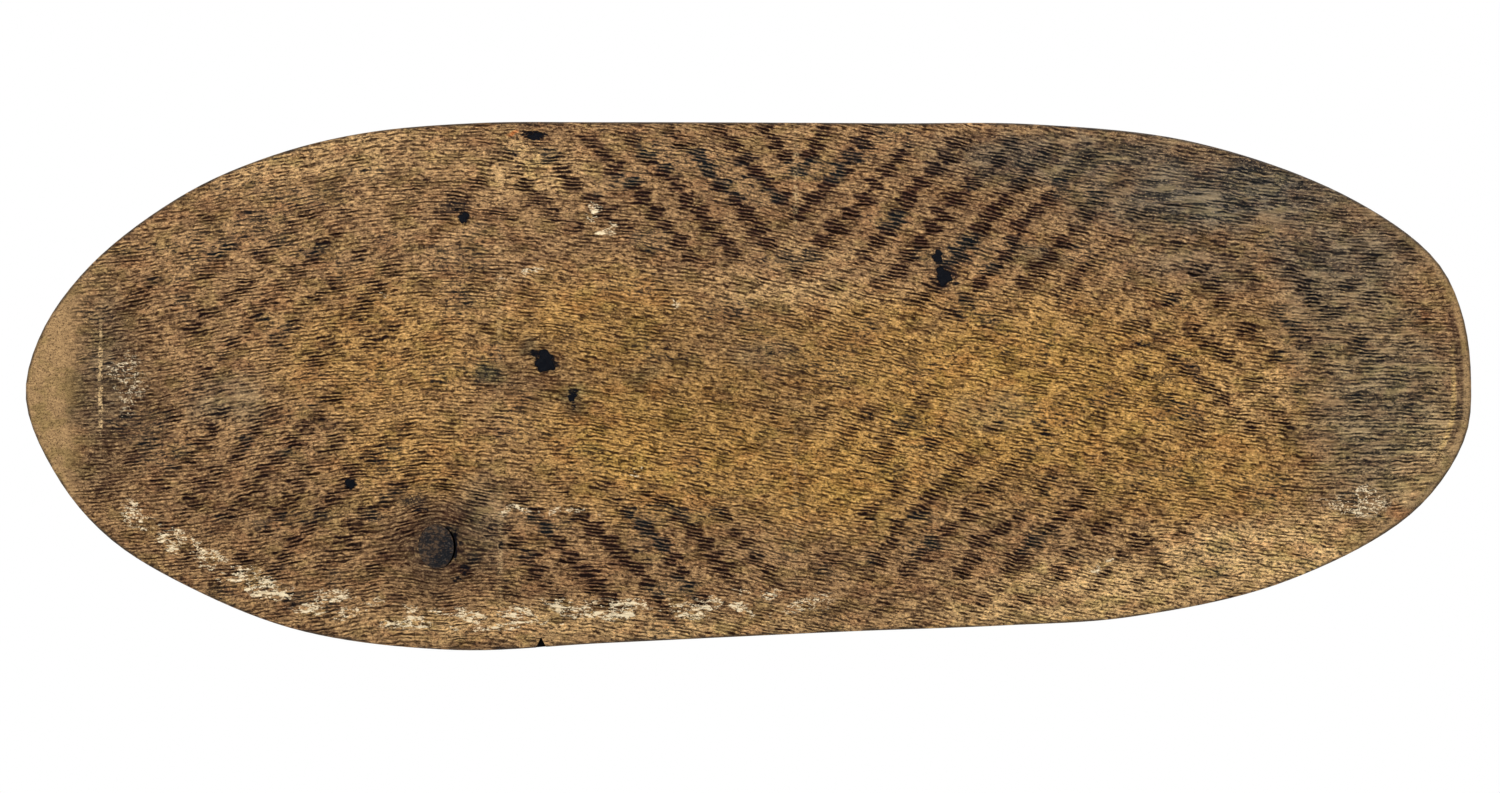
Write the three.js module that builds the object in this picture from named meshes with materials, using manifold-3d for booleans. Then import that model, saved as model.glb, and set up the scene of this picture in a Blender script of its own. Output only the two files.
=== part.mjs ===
// A carved wooden shield: an oval board, crowned in front and hollowed behind,
// with a grip bar let into a raised boss across a scooped finger well.
// Millimetres. X runs along the board, Z up across it, and the face looks towards -Y.
// The origin is the middle of the grip bar, where the hand closes.

import * as THREE from 'three';
import { mergeVertices } from 'three/addons/utils/BufferGeometryUtils.js';
import Module from 'manifold-3d';

const wasm = await Module();
wasm.setup();

// Board
const BOARD_LENGTH = 760;
const BOARD_WIDTH = 279;
const CROWN_RISE = 40;
const BOW_RISE = 34;
const RIM_THICKNESS = 10;
const BOARD_THICKNESS = 31;
const WELL_FLOOR_THICKNESS = 11;

// Grip bar, its housings and pegs
const GRIP_WIDTH = 21;
const GRIP_DEPTH = 17;
const GRIP_END_WIDTH = 18;
const GRIP_END_DEPTH = 14;
const FINGER_GAP = 20;
const HOUSING_LENGTH = 20;
const BED_THICKNESS = 2.2;
const PEG_DIAMETER = 7;

// Finger well and the boss around it
const WELL_LENGTH = 122;
const WELL_WIDTH = 78;
const WELL_FLOOR_DRAW = 17;
const BOSS_END_WALL = 16;
const BOSS_SIDE_WALL = 13;
const BOSS_FOOT_SPREAD = 14;

// Knots, stoppings and the notch in the lower edge
const STOP_RADIUS = 6.3;
const STOP_DEPTH = 6;
const TWIN_WALL = 2;
const LARGE_KNOT_LENGTH = 18;
const LARGE_KNOT_HEIGHT = 23;
const CRESCENT_WIDTH = 1.1;
const CRESCENT_DEPTH = 12;
const NOTCH_WIDTH = 6.5;
const NOTCH_HEIGHT = 5.5;
const NOTCH_DEPTH = 5;

// Clearances and cuts
const SEAT_GAP = 0.3;
const CUT_OVERRUN = 4;

// Counts of steps round and along the curved forms
const OUTLINE_STEPS = 96;
const FACE_STEPS = 10;
const BACK_STEPS = 7;
const NOSE_STEPS = 8;
const OVAL_STEPS = 48;
const BOSS_FLANK_STEPS = 7;
const WELL_STEPS = 7;
const GRIP_STEPS = 24;
const GRIP_SECTION_STEPS = 24;
const PLUG_STEPS = 28;

// The board's outline, from its left tip over the top edge and back along the lower one, in shares of
// half the length and half the width. It is deepest at its lower left and narrows towards the right.
const OUTLINE_SHARES = [
  [-1, -0.05],
  [-0.98, 0.19],
  [-0.91, 0.456],
  [-0.78, 0.725],
  [-0.66, 0.87],
  [-0.535, 0.955],
  [-0.38, 0.993],
  [-0.2, 0.996],
  [0.2, 0.992],
  [0.4, 0.988],
  [0.62, 0.92],
  [0.83, 0.715],
  [0.95, 0.48],
  [0.987, 0.28],
  [1, 0.02],
  [0.991, -0.2],
  [0.92, -0.475],
  [0.745, -0.735],
  [0.53, -0.87],
  [0.35, -0.903],
  [0.14, -0.925],
  [-0.2, -0.97],
  [-0.41, -0.997],
  [-0.62, -0.925],
  [-0.77, -0.765],
  [-0.885, -0.573],
  [-0.957, -0.34],
];

// How steeply the face falls away across and along the board, and how its thickness fades to the rim
const CROWN_POWER = 2.4;
const BOW_POWER = 2.6;
const THICKNESS_POWER = 2;

// How square the ovals are: 2 is an ellipse, and more is squarer
const ELLIPSE_POWER = 2;
const BOSS_POWER = 2.3;
const WELL_POWER = 2.6;
const GRIP_HAND_POWER = 2.2;
const GRIP_END_POWER = 7;

// Places and sizes of the stoppings: the place in shares of half the length and half the width, the
// half width and half height in shares of the largest one's radius
const LARGE_TWIN_NAME = 'stop_upper_right_large';
const SMALL_TWIN_NAME = 'stop_upper_right_small';
const STOPS = [
  { name: 'stop_upper_left', placeShares: [-0.392, 0.631], sizeShares: [0.51, 0.51] },
  { name: 'stop_centre_large', placeShares: [-0.279, 0.09], sizeShares: [1, 0.95] },
  { name: 'stop_centre_small', placeShares: [-0.242, -0.042], sizeShares: [0.42, 0.4] },
  { name: 'stop_lower_left', placeShares: [-0.547, -0.366], sizeShares: [0.48, 0.48] },
  { name: LARGE_TWIN_NAME, placeShares: [0.268, 0.409], sizeShares: [0.79, 0.79] },
  { name: 'stop_top_edge', placeShares: [-0.295, 0.94], sizeShares: [0.71, 0.36] },
];
const SMALL_TWIN_SIZE_SHARE = 0.55;
const SMALL_TWIN_LEAN_SHARE = -0.3;
const LARGE_KNOT_PLACE_SHARES = [-0.43, -0.603];
const NOTCH_PLACE_SHARE = -0.287;
const PLUG_TAPER_SHARE = 0.8;

// Sizes that follow
const HALF_LENGTH = BOARD_LENGTH / 2;
const HALF_WIDTH = BOARD_WIDTH / 2;
const RIM_RADIUS = RIM_THICKNESS / 2;
const WELL_FLOOR_Y = -GRIP_DEPTH / 2 - FINGER_GAP;
const FACE_Y = WELL_FLOOR_Y - WELL_FLOOR_THICKNESS;
const BOARD_BACK_Y = FACE_Y + BOARD_THICKNESS;
const BOSS_TOP_Y = GRIP_END_DEPTH / 2;
const GRIP_HALF_LENGTH = WELL_LENGTH / 2 + HOUSING_LENGTH;
const BOSS_HALF_LENGTH = GRIP_HALF_LENGTH + BOSS_END_WALL;
const BOSS_HALF_WIDTH = WELL_WIDTH / 2 + BOSS_SIDE_WALL;
const PEG_X = WELL_LENGTH / 2 + HOUSING_LENGTH / 2;

// Solids

function toSolid(geometry) {
  const bare = geometry.clone();
  bare.deleteAttribute('normal');
  bare.deleteAttribute('uv');
  const merged = mergeVertices(bare);
  const mesh = new wasm.Mesh({
    numProp: 3,
    vertProperties: new Float32Array(merged.attributes.position.array),
    triVerts: new Uint32Array(merged.index.array),
  });
  return new wasm.Manifold(mesh);
}

function toGeometry(solid) {
  const mesh = solid.getMesh();
  const geometry = new THREE.BufferGeometry();
  geometry.setAttribute('position', new THREE.BufferAttribute(mesh.vertProperties, 3));
  geometry.setIndex(new THREE.BufferAttribute(mesh.triVerts, 1));
  geometry.computeVertexNormals();
  return geometry;
}

// Closes a ring with a fan round its own middle.
function fanTriangles(points, ring, first, forward) {
  const middle = new THREE.Vector3();
  ring.forEach((point) => middle.add(point));
  middle.divideScalar(ring.length);
  const centre = points.push(middle) - 1;
  return ring.flatMap((_, step) => {
    const here = first + step;
    const next = first + ((step + 1) % ring.length);
    return forward ? [centre, here, next] : [centre, next, here];
  });
}

// Joins rings of equally many points into one closed solid.
function loftRings(rings) {
  const around = rings[0].length;
  const points = rings.flat();
  const triangles = [];
  for (let ring = 0; ring + 1 < rings.length; ring += 1) {
    for (let step = 0; step < around; step += 1) {
      const here = ring * around + step;
      const next = ring * around + ((step + 1) % around);
      triangles.push(here, next, next + around, here, next + around, here + around);
    }
  }
  const lastFirst = (rings.length - 1) * around;
  triangles.push(...fanTriangles(points, rings[0], 0, false));
  triangles.push(...fanTriangles(points, rings[rings.length - 1], lastFirst, true));
  const geometry = new THREE.BufferGeometry();
  geometry.setFromPoints(points);
  geometry.setIndex(triangles);
  return toSolid(geometry);
}

// An oval of the given power in a plane of constant Y, turning from +X towards +Z.
function ovalRing(halfX, halfZ, y, power, steps, middle = { x: 0, z: 0 }) {
  const bend = (value) => Math.sign(value) * Math.abs(value) ** (2 / power);
  return Array.from({ length: steps }, (_, step) => {
    const angle = (2 * Math.PI * step) / steps;
    const x = middle.x + halfX * bend(Math.cos(angle));
    const z = middle.z + halfZ * bend(Math.sin(angle));
    return new THREE.Vector3(x, y, z);
  });
}

function joinAll(solids) {
  return solids.reduce((whole, solid) => whole.add(solid));
}

// The board

function faceY(x, z) {
  const crown = CROWN_RISE * Math.abs(z / HALF_WIDTH) ** CROWN_POWER;
  const bow = BOW_RISE * Math.abs(x / HALF_LENGTH) ** BOW_POWER;
  return FACE_Y + crown + bow;
}

function makeOutline() {
  const corners = OUTLINE_SHARES.map(
    ([alongShare, acrossShare]) => new THREE.Vector3(alongShare * HALF_LENGTH, 0, acrossShare * HALF_WIDTH),
  );
  const curve = new THREE.CatmullRomCurve3(corners, true, 'centripetal');
  return curve.getSpacedPoints(OUTLINE_STEPS).slice(0, OUTLINE_STEPS);
}

// The outline drawn in by a distance, square to its own run.
function insetOutline(outline, inset) {
  return outline.map((point, step) => {
    const before = outline[(step + outline.length - 1) % outline.length];
    const after = outline[(step + 1) % outline.length];
    const along = new THREE.Vector3().subVectors(after, before).normalize();
    return new THREE.Vector3(point.x + along.z * inset, 0, point.z - along.x * inset);
  });
}

// One ring of the face or the back: the inner outline drawn towards the middle by a share.
function surfaceRing(inner, share, thickness) {
  return inner.map((point) => {
    const x = point.x * share;
    const z = point.z * share;
    return new THREE.Vector3(x, faceY(x, z) + thickness, z);
  });
}

// The rounded nose of the rim, which carries the face round to the back.
function noseRing(outline, inner, turn) {
  const ring = insetOutline(outline, RIM_RADIUS * (1 - Math.sin(turn)));
  return ring.map((point, step) => {
    const edgeY = faceY(inner[step].x, inner[step].z);
    return new THREE.Vector3(point.x, edgeY + RIM_RADIUS * (1 - Math.cos(turn)), point.z);
  });
}

function makeBlank(outline) {
  const inner = insetOutline(outline, RIM_RADIUS);
  const rings = [];
  for (let step = 1; step <= FACE_STEPS; step += 1) {
    rings.push(surfaceRing(inner, step / FACE_STEPS, 0));
  }
  for (let step = 1; step < NOSE_STEPS; step += 1) {
    rings.push(noseRing(outline, inner, (Math.PI * step) / NOSE_STEPS));
  }
  for (let step = BACK_STEPS; step >= 1; step -= 1) {
    const share = step / BACK_STEPS;
    const extra = (BOARD_THICKNESS - RIM_THICKNESS) * (1 - share ** THICKNESS_POWER);
    rings.push(surfaceRing(inner, share, RIM_THICKNESS + extra));
  }
  return loftRings(rings);
}

// A flat-topped oval swelling of the back that spreads at its foot.
function makeBoss() {
  const sunk = ovalRing(
    BOSS_HALF_LENGTH + BOSS_FOOT_SPREAD,
    BOSS_HALF_WIDTH + BOSS_FOOT_SPREAD,
    (FACE_Y + BOARD_BACK_Y) / 2,
    BOSS_POWER,
    OVAL_STEPS,
  );
  const rings = [sunk];
  for (let step = 0; step <= BOSS_FLANK_STEPS; step += 1) {
    const rise = step / BOSS_FLANK_STEPS;
    const spread = BOSS_FOOT_SPREAD * (1 - rise) ** 2;
    const y = BOARD_BACK_Y + (BOSS_TOP_Y - BOARD_BACK_Y) * rise;
    rings.push(ovalRing(BOSS_HALF_LENGTH + spread, BOSS_HALF_WIDTH + spread, y, BOSS_POWER, OVAL_STEPS));
  }
  return loftRings(rings.reverse());
}

// The scoop behind the grip: steep at its mouth and drawn in to a rounded floor.
function makeWell() {
  const rings = [];
  for (let step = 0; step <= WELL_STEPS; step += 1) {
    const turn = (Math.PI * step) / (2 * WELL_STEPS);
    const draw = WELL_FLOOR_DRAW * (1 - Math.sin(turn));
    const y = WELL_FLOOR_Y + (BOSS_TOP_Y - WELL_FLOOR_Y) * (1 - Math.cos(turn));
    rings.push(ovalRing(WELL_LENGTH / 2 - draw, WELL_WIDTH / 2 - draw, y, WELL_POWER, OVAL_STEPS));
  }
  const mouth = BOSS_TOP_Y + CUT_OVERRUN;
  rings.push(ovalRing(WELL_LENGTH / 2, WELL_WIDTH / 2, mouth, WELL_POWER, OVAL_STEPS));
  return loftRings(rings.reverse());
}

// A triangular nick in the lower edge, cut from the face and not quite through to the back.
function makeNotch(outline) {
  const x = NOTCH_PLACE_SHARE * HALF_LENGTH;
  const lower = outline.filter((point) => point.z < 0);
  const nearest = lower.sort((a, b) => Math.abs(a.x - x) - Math.abs(b.x - x))[0];
  const nick = new THREE.Shape();
  nick.moveTo(x - NOTCH_WIDTH / 2, nearest.z - CUT_OVERRUN);
  nick.lineTo(x + NOTCH_WIDTH / 2, nearest.z - CUT_OVERRUN);
  nick.lineTo(x + NOTCH_WIDTH / 2, nearest.z);
  nick.lineTo(x, nearest.z + NOTCH_HEIGHT);
  nick.lineTo(x - NOTCH_WIDTH / 2, nearest.z);
  nick.closePath();
  const bottom = faceY(x, nearest.z) + NOTCH_DEPTH;
  const depth = bottom - FACE_Y;
  const block = new THREE.ExtrudeGeometry(nick, { depth, bevelEnabled: false });
  block.rotateX(Math.PI / 2);
  block.translate(0, bottom, 0);
  return toSolid(block);
}

// The grip

// The bar is squared where it is housed, and swells to a round where it is held.
function makeGripBlank() {
  const rings = [];
  for (let step = 0; step <= GRIP_STEPS; step += 1) {
    const x = GRIP_HALF_LENGTH * ((2 * step) / GRIP_STEPS - 1);
    const reach = Math.min(Math.abs(x) / (WELL_LENGTH / 2), 1);
    const swell = Math.cos((Math.PI * reach) / 2) ** 2;
    const halfY = (GRIP_END_DEPTH + (GRIP_DEPTH - GRIP_END_DEPTH) * swell) / 2;
    const halfZ = (GRIP_END_WIDTH + (GRIP_WIDTH - GRIP_END_WIDTH) * swell) / 2;
    const power = GRIP_END_POWER + (GRIP_HAND_POWER - GRIP_END_POWER) * Math.sqrt(swell);
    const section = ovalRing(halfY, halfZ, 0, power, GRIP_SECTION_STEPS);
    rings.push(section.map((point) => new THREE.Vector3(x, point.x, point.z)));
  }
  return loftRings(rings);
}

// The block of space that holds one end of the bar, open to the back and to the well, larger than the
// end by some slack. side is -1 on the left and 1 on the right.
function makeHousing(side, slack) {
  const inside = WELL_LENGTH / 2 - WELL_FLOOR_DRAW;
  const outside = GRIP_HALF_LENGTH + slack;
  const bottom = -GRIP_END_DEPTH / 2 - slack;
  const top = BOSS_TOP_Y + CUT_OVERRUN;
  const block = new THREE.BoxGeometry(outside - inside, top - bottom, GRIP_END_WIDTH + 2 * slack);
  block.translate((side * (inside + outside)) / 2, (bottom + top) / 2, 0);
  return toSolid(block);
}

// A round peg across the boss, larger than the real one by some slack.
function makePegBlank(side, slack) {
  const radius = PEG_DIAMETER / 2 + slack;
  const length = 2 * (BOSS_HALF_WIDTH + BOSS_FOOT_SPREAD);
  const peg = new THREE.CylinderGeometry(radius, radius, length, PLUG_STEPS);
  peg.rotateX(Math.PI / 2);
  peg.translate(side * PEG_X, 0, 0);
  return toSolid(peg);
}

// Knots

// A plug that runs along Y through the face, a little narrower at its inner end.
function makePlug(middle, halfX, halfZ, depth, slack) {
  const surface = faceY(middle.x, middle.z);
  const proud = halfX + halfZ;
  const rings = [
    ovalRing(
      halfX * PLUG_TAPER_SHARE + slack,
      halfZ * PLUG_TAPER_SHARE + slack,
      surface + depth + slack,
      ELLIPSE_POWER,
      PLUG_STEPS,
      middle,
    ),
    ovalRing(halfX + slack, halfZ + slack, surface, ELLIPSE_POWER, PLUG_STEPS, middle),
    ovalRing(halfX + slack, halfZ + slack, surface - proud, ELLIPSE_POWER, PLUG_STEPS, middle),
  ];
  return loftRings(rings);
}

function placeFromShares([alongShare, acrossShare]) {
  return { x: alongShare * HALF_LENGTH, z: acrossShare * HALF_WIDTH };
}

// The stoppings, with the small one of the upper right pair set above its larger twin.
function listStops() {
  const stops = STOPS.map(({ name, placeShares, sizeShares }) => ({
    name,
    middle: placeFromShares(placeShares),
    halfX: sizeShares[0] * STOP_RADIUS,
    halfZ: sizeShares[1] * STOP_RADIUS,
  }));
  const twin = stops.find(({ name }) => name === LARGE_TWIN_NAME);
  const radius = SMALL_TWIN_SIZE_SHARE * STOP_RADIUS;
  const apart = radius + twin.halfZ + TWIN_WALL;
  const middle = { x: twin.middle.x + SMALL_TWIN_LEAN_SHARE * apart, z: twin.middle.z + apart };
  stops.push({ name: SMALL_TWIN_NAME, middle, halfX: radius, halfZ: radius });
  return stops;
}

// The whole shield

const FINISHES = {
  boardWood: { color: 0x8a6538, roughness: 0.6 },
  gripWood: { color: 0x6b4526, roughness: 0.5 },
  pegWood: { color: 0x9a7a4c, roughness: 0.7 },
  knotWood: { color: 0x3a281b, roughness: 0.75 },
  bedResin: { color: 0x1c1613, roughness: 0.55 },
  stopResin: { color: 0x16110e, roughness: 0.3 },
};

const group = new THREE.Group();

function addPiece(name, solid, finish) {
  const material = new THREE.MeshStandardMaterial({ ...finish, metalness: 0 });
  const piece = new THREE.Mesh(toGeometry(solid), material);
  piece.name = name;
  group.add(piece);
}

const outline = makeOutline();
const blank = makeBlank(outline);
const boss = makeBoss();
const well = makeWell();
const solidBoard = blank.add(boss);
const cuts = [well, makeNotch(outline)];
const pegHoles = [];

[[-1, 'left'], [1, 'right']].forEach(([side, word]) => {
  const pegHole = makePegBlank(side, SEAT_GAP);
  const bed = makeHousing(side, BED_THICKNESS)
    .subtract(makeHousing(side, SEAT_GAP))
    .intersect(solidBoard)
    .subtract(well)
    .subtract(pegHole);
  addPiece(`resin_bed_${word}`, bed, FINISHES.bedResin);
  addPiece(`grip_peg_${word}`, makePegBlank(side, 0).intersect(boss), FINISHES.pegWood);
  cuts.push(makeHousing(side, BED_THICKNESS + SEAT_GAP), pegHole);
  pegHoles.push(pegHole);
});

addPiece('grip_bar', makeGripBlank().subtract(joinAll(pegHoles)), FINISHES.gripWood);

listStops().forEach(({ name, middle, halfX, halfZ }) => {
  const stop = makePlug(middle, halfX, halfZ, STOP_DEPTH, 0).intersect(solidBoard);
  addPiece(name, stop, FINISHES.stopResin);
  cuts.push(makePlug(middle, halfX, halfZ, STOP_DEPTH, SEAT_GAP));
});

// The large knot runs right through the board, and a crescent crack has opened on its right.
const knotMiddle = placeFromShares(LARGE_KNOT_PLACE_SHARES);
const knotHalfX = LARGE_KNOT_LENGTH / 2;
const knotHalfZ = LARGE_KNOT_HEIGHT / 2;
const crackMiddle = { x: knotMiddle.x + CRESCENT_WIDTH, z: knotMiddle.z };
const knot = makePlug(knotMiddle, knotHalfX, knotHalfZ, BOARD_THICKNESS, 0).intersect(solidBoard);
addPiece('large_knot', knot, FINISHES.knotWood);
cuts.push(makePlug(knotMiddle, knotHalfX, knotHalfZ, BOARD_THICKNESS, SEAT_GAP));
cuts.push(makePlug(crackMiddle, knotHalfX, knotHalfZ, CRESCENT_DEPTH, SEAT_GAP));

addPiece('shield_body', solidBoard.subtract(joinAll(cuts)), FINISHES.boardWood);

export default group;
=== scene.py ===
"""The look of a carved wooden shield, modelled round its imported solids, in metres.

The face is cut with long fine flutes whose deeper strokes step into a zigzag. The back is hollowed
round a raised boss, and a grip bar is let into that boss across a scooped finger well.
X runs along the board, Z up across it, and the face looks towards -Y.
"""

import logging
import math
from collections.abc import Callable, Sequence
from dataclasses import dataclass
from enum import Enum

import bmesh
import bpy
import numpy as np
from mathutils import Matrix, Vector
from mathutils.kdtree import KDTree


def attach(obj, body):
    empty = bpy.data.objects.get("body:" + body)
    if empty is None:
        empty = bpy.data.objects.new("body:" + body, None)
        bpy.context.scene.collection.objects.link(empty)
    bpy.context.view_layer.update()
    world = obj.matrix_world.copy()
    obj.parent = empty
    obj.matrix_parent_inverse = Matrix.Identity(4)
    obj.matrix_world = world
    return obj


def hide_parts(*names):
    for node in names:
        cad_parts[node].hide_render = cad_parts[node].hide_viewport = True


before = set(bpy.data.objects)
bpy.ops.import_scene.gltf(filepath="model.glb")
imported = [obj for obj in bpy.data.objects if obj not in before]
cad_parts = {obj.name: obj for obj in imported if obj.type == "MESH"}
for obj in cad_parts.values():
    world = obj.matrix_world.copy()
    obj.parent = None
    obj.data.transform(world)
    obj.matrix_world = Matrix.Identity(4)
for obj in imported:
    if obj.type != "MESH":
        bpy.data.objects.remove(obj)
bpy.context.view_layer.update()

Array = np.ndarray
Colour = tuple[float, float, float, float]
Material = bpy.types.Material
Mesh = bmesh.types.BMesh
Piece = bpy.types.Object
Socket = bpy.types.NodeSocket

LOG = logging.getLogger("shield")
MM = 0.001
CRISP_ANGLE = math.radians(40)


class Join(Enum):
    """How one solid acts on another."""

    ADD = "UNION"
    CUT = "DIFFERENCE"
    KEEP_COMMON = "INTERSECT"


class Side(Enum):
    """The two ends of the grip bar."""

    LEFT = -1
    RIGHT = 1


def linear(channel: int) -> float:
    """Turns a channel as a screen shows it, 0 to 255, into the linear share that shaders take."""
    share = channel / 255
    return share / 12.92 if share < 0.04045 else ((share + 0.055) / 1.055) ** 2.4


def tone(red: int, green: int, blue: int) -> Colour:
    """Turns a colour as a screen shows it, 0 to 255, into the linear colour that shaders take."""
    return linear(red), linear(green), linear(blue), 1.0


def smooth_rise(value: Array, low: float, high: float) -> Array:
    """Rises smoothly from 0 to 1 as the value goes from low to high."""
    share = np.clip((value - low) / (high - low), 0, 1)
    return share * share * (3 - 2 * share)


# Solids


def angles_round(steps: int) -> Array:
    """The angles of evenly spaced points round a circle."""
    return np.linspace(0, 2 * math.pi, steps, endpoint=False)


def points(x: object, y: object, z: object) -> Array:
    """Rows of X, Y and Z, from arrays or plain numbers."""
    return np.column_stack(np.broadcast_arrays(x, y, z))


def set_places(verts: Sequence[bmesh.types.BMVert], places: Array) -> None:
    """Moves vertices to places, in order."""
    for vert, place in zip(verts, places):
        vert.co = place


def as_object(name: str, mesh: Mesh) -> Piece:
    """Puts a finished bmesh into the scene with its faces pointing outwards.

    Args:
        name: The new object's name.
        mesh: The bmesh, which is freed.

    Returns:
        The new object, at the origin.
    """
    bmesh.ops.remove_doubles(mesh, verts=mesh.verts, dist=0.001 * MM)
    bmesh.ops.recalc_face_normals(mesh, faces=mesh.faces)
    if mesh.calc_volume(signed=True) < 0:
        bmesh.ops.reverse_faces(mesh, faces=mesh.faces)
    data = bpy.data.meshes.new(name)
    mesh.to_mesh(data)
    mesh.free()
    made = bpy.data.objects.new(name, data)
    bpy.context.scene.collection.objects.link(made)
    return made


def ring_edges(ring: list[bmesh.types.BMVert]) -> list[bmesh.types.BMEdge]:
    """The edges that join neighbours of a closed ring of vertices."""
    pairs = zip(ring, ring[1:] + ring[:1])
    return [next(edge for edge in one.link_edges if edge.other_vert(one) is other) for one, other in pairs]


def loft(name: str, rings: Sequence[Array]) -> Piece:
    """Joins rings of equally many points into one closed solid.

    Args:
        name: The solid's name.
        rings: The rings, each an array of points in order round the solid.

    Returns:
        The solid.
    """
    mesh = bmesh.new()
    ring = bmesh.ops.create_circle(mesh, segments=len(rings[0]), radius=1.0)["verts"]
    bmesh.ops.edgeloop_fill(mesh, edges=ring_edges(ring))
    set_places(ring, rings[0])
    for places in rings[1:]:
        made = bmesh.ops.extrude_edge_only(mesh, edges=ring_edges(ring))["geom"]
        fresh = {item for item in made if isinstance(item, bmesh.types.BMVert)}
        ring = [
            next(edge.other_vert(vert) for edge in vert.link_edges if edge.other_vert(vert) in fresh)
            for vert in ring
        ]
        set_places(ring, places)
    bmesh.ops.edgeloop_fill(mesh, edges=ring_edges(ring))
    return as_object(name, mesh)


def bent_block(name: str, steps: tuple[int, int], bend: Callable[[Array], Array], far_y: float) -> Piece:
    """Makes a solid with one bent side, which the board's blank is trimmed by.

    Args:
        name: The solid's name.
        steps: How many cells the bent side has along X and along Z.
        bend: Turns the places of a flat grid, from -0.5 to 0.5 both ways, into the bent side's.
        far_y: The Y of the flat side across from it.

    Returns:
        The solid.
    """
    mesh = bmesh.new()
    bmesh.ops.create_grid(mesh, x_segments=steps[0], y_segments=steps[1], size=0.5)
    set_places(mesh.verts, bend(np.array([vert.co for vert in mesh.verts])))
    rim = [edge for edge in mesh.edges if edge.is_boundary]
    made = bmesh.ops.extrude_edge_only(mesh, edges=rim)["geom"]
    for item in made:
        if isinstance(item, bmesh.types.BMVert):
            item.co.y = far_y
    far_rim = [item for item in made if isinstance(item, bmesh.types.BMEdge) and item.is_boundary]
    bmesh.ops.edgeloop_fill(mesh, edges=far_rim)
    return as_object(name, mesh)


def oval_ring(half_sizes: tuple[float, float], y: float, power: float, steps: int) -> Array:
    """An oval round the Y axis, in a plane of constant Y.

    Args:
        half_sizes: Half its length along X and half its height along Z.
        y: The plane's place.
        power: How square it is. 2 is an ellipse, and more is squarer.
        steps: How many points it has.

    Returns:
        The points, turning from +X towards +Z.
    """
    run, rise = np.cos(angles_round(steps)), np.sin(angles_round(steps))
    across = np.sign(run) * np.abs(run) ** (2 / power)
    upward = np.sign(rise) * np.abs(rise) ** (2 / power)
    return points(half_sizes[0] * across, y, half_sizes[1] * upward)


def carve(target: Piece, how: Join, tools: Sequence[Piece]) -> None:
    """Joins, cuts or trims a solid with others, which are used up.

    Args:
        target: The solid that is kept.
        how: What the others do to it.
        tools: The other solids.
    """
    for tool in tools:
        step = target.modifiers.new("carve", "BOOLEAN")
        step.operation = how.value
        step.solver = "MANIFOLD"
        step.object = tool
        settled = bpy.context.evaluated_depsgraph_get()
        settled.update()
        shaped = bpy.data.meshes.new_from_object(target.evaluated_get(settled))
        target.modifiers.clear()
        old, used = target.data, tool.data
        target.data = shaped
        shaped.name = target.name
        bpy.data.objects.remove(tool)
        for mesh in (old, used):
            bpy.data.meshes.remove(mesh)
    if not target.data.polygons:
        raise ValueError(f"nothing is left of {target.name} after a cut")


# The board's form


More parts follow.
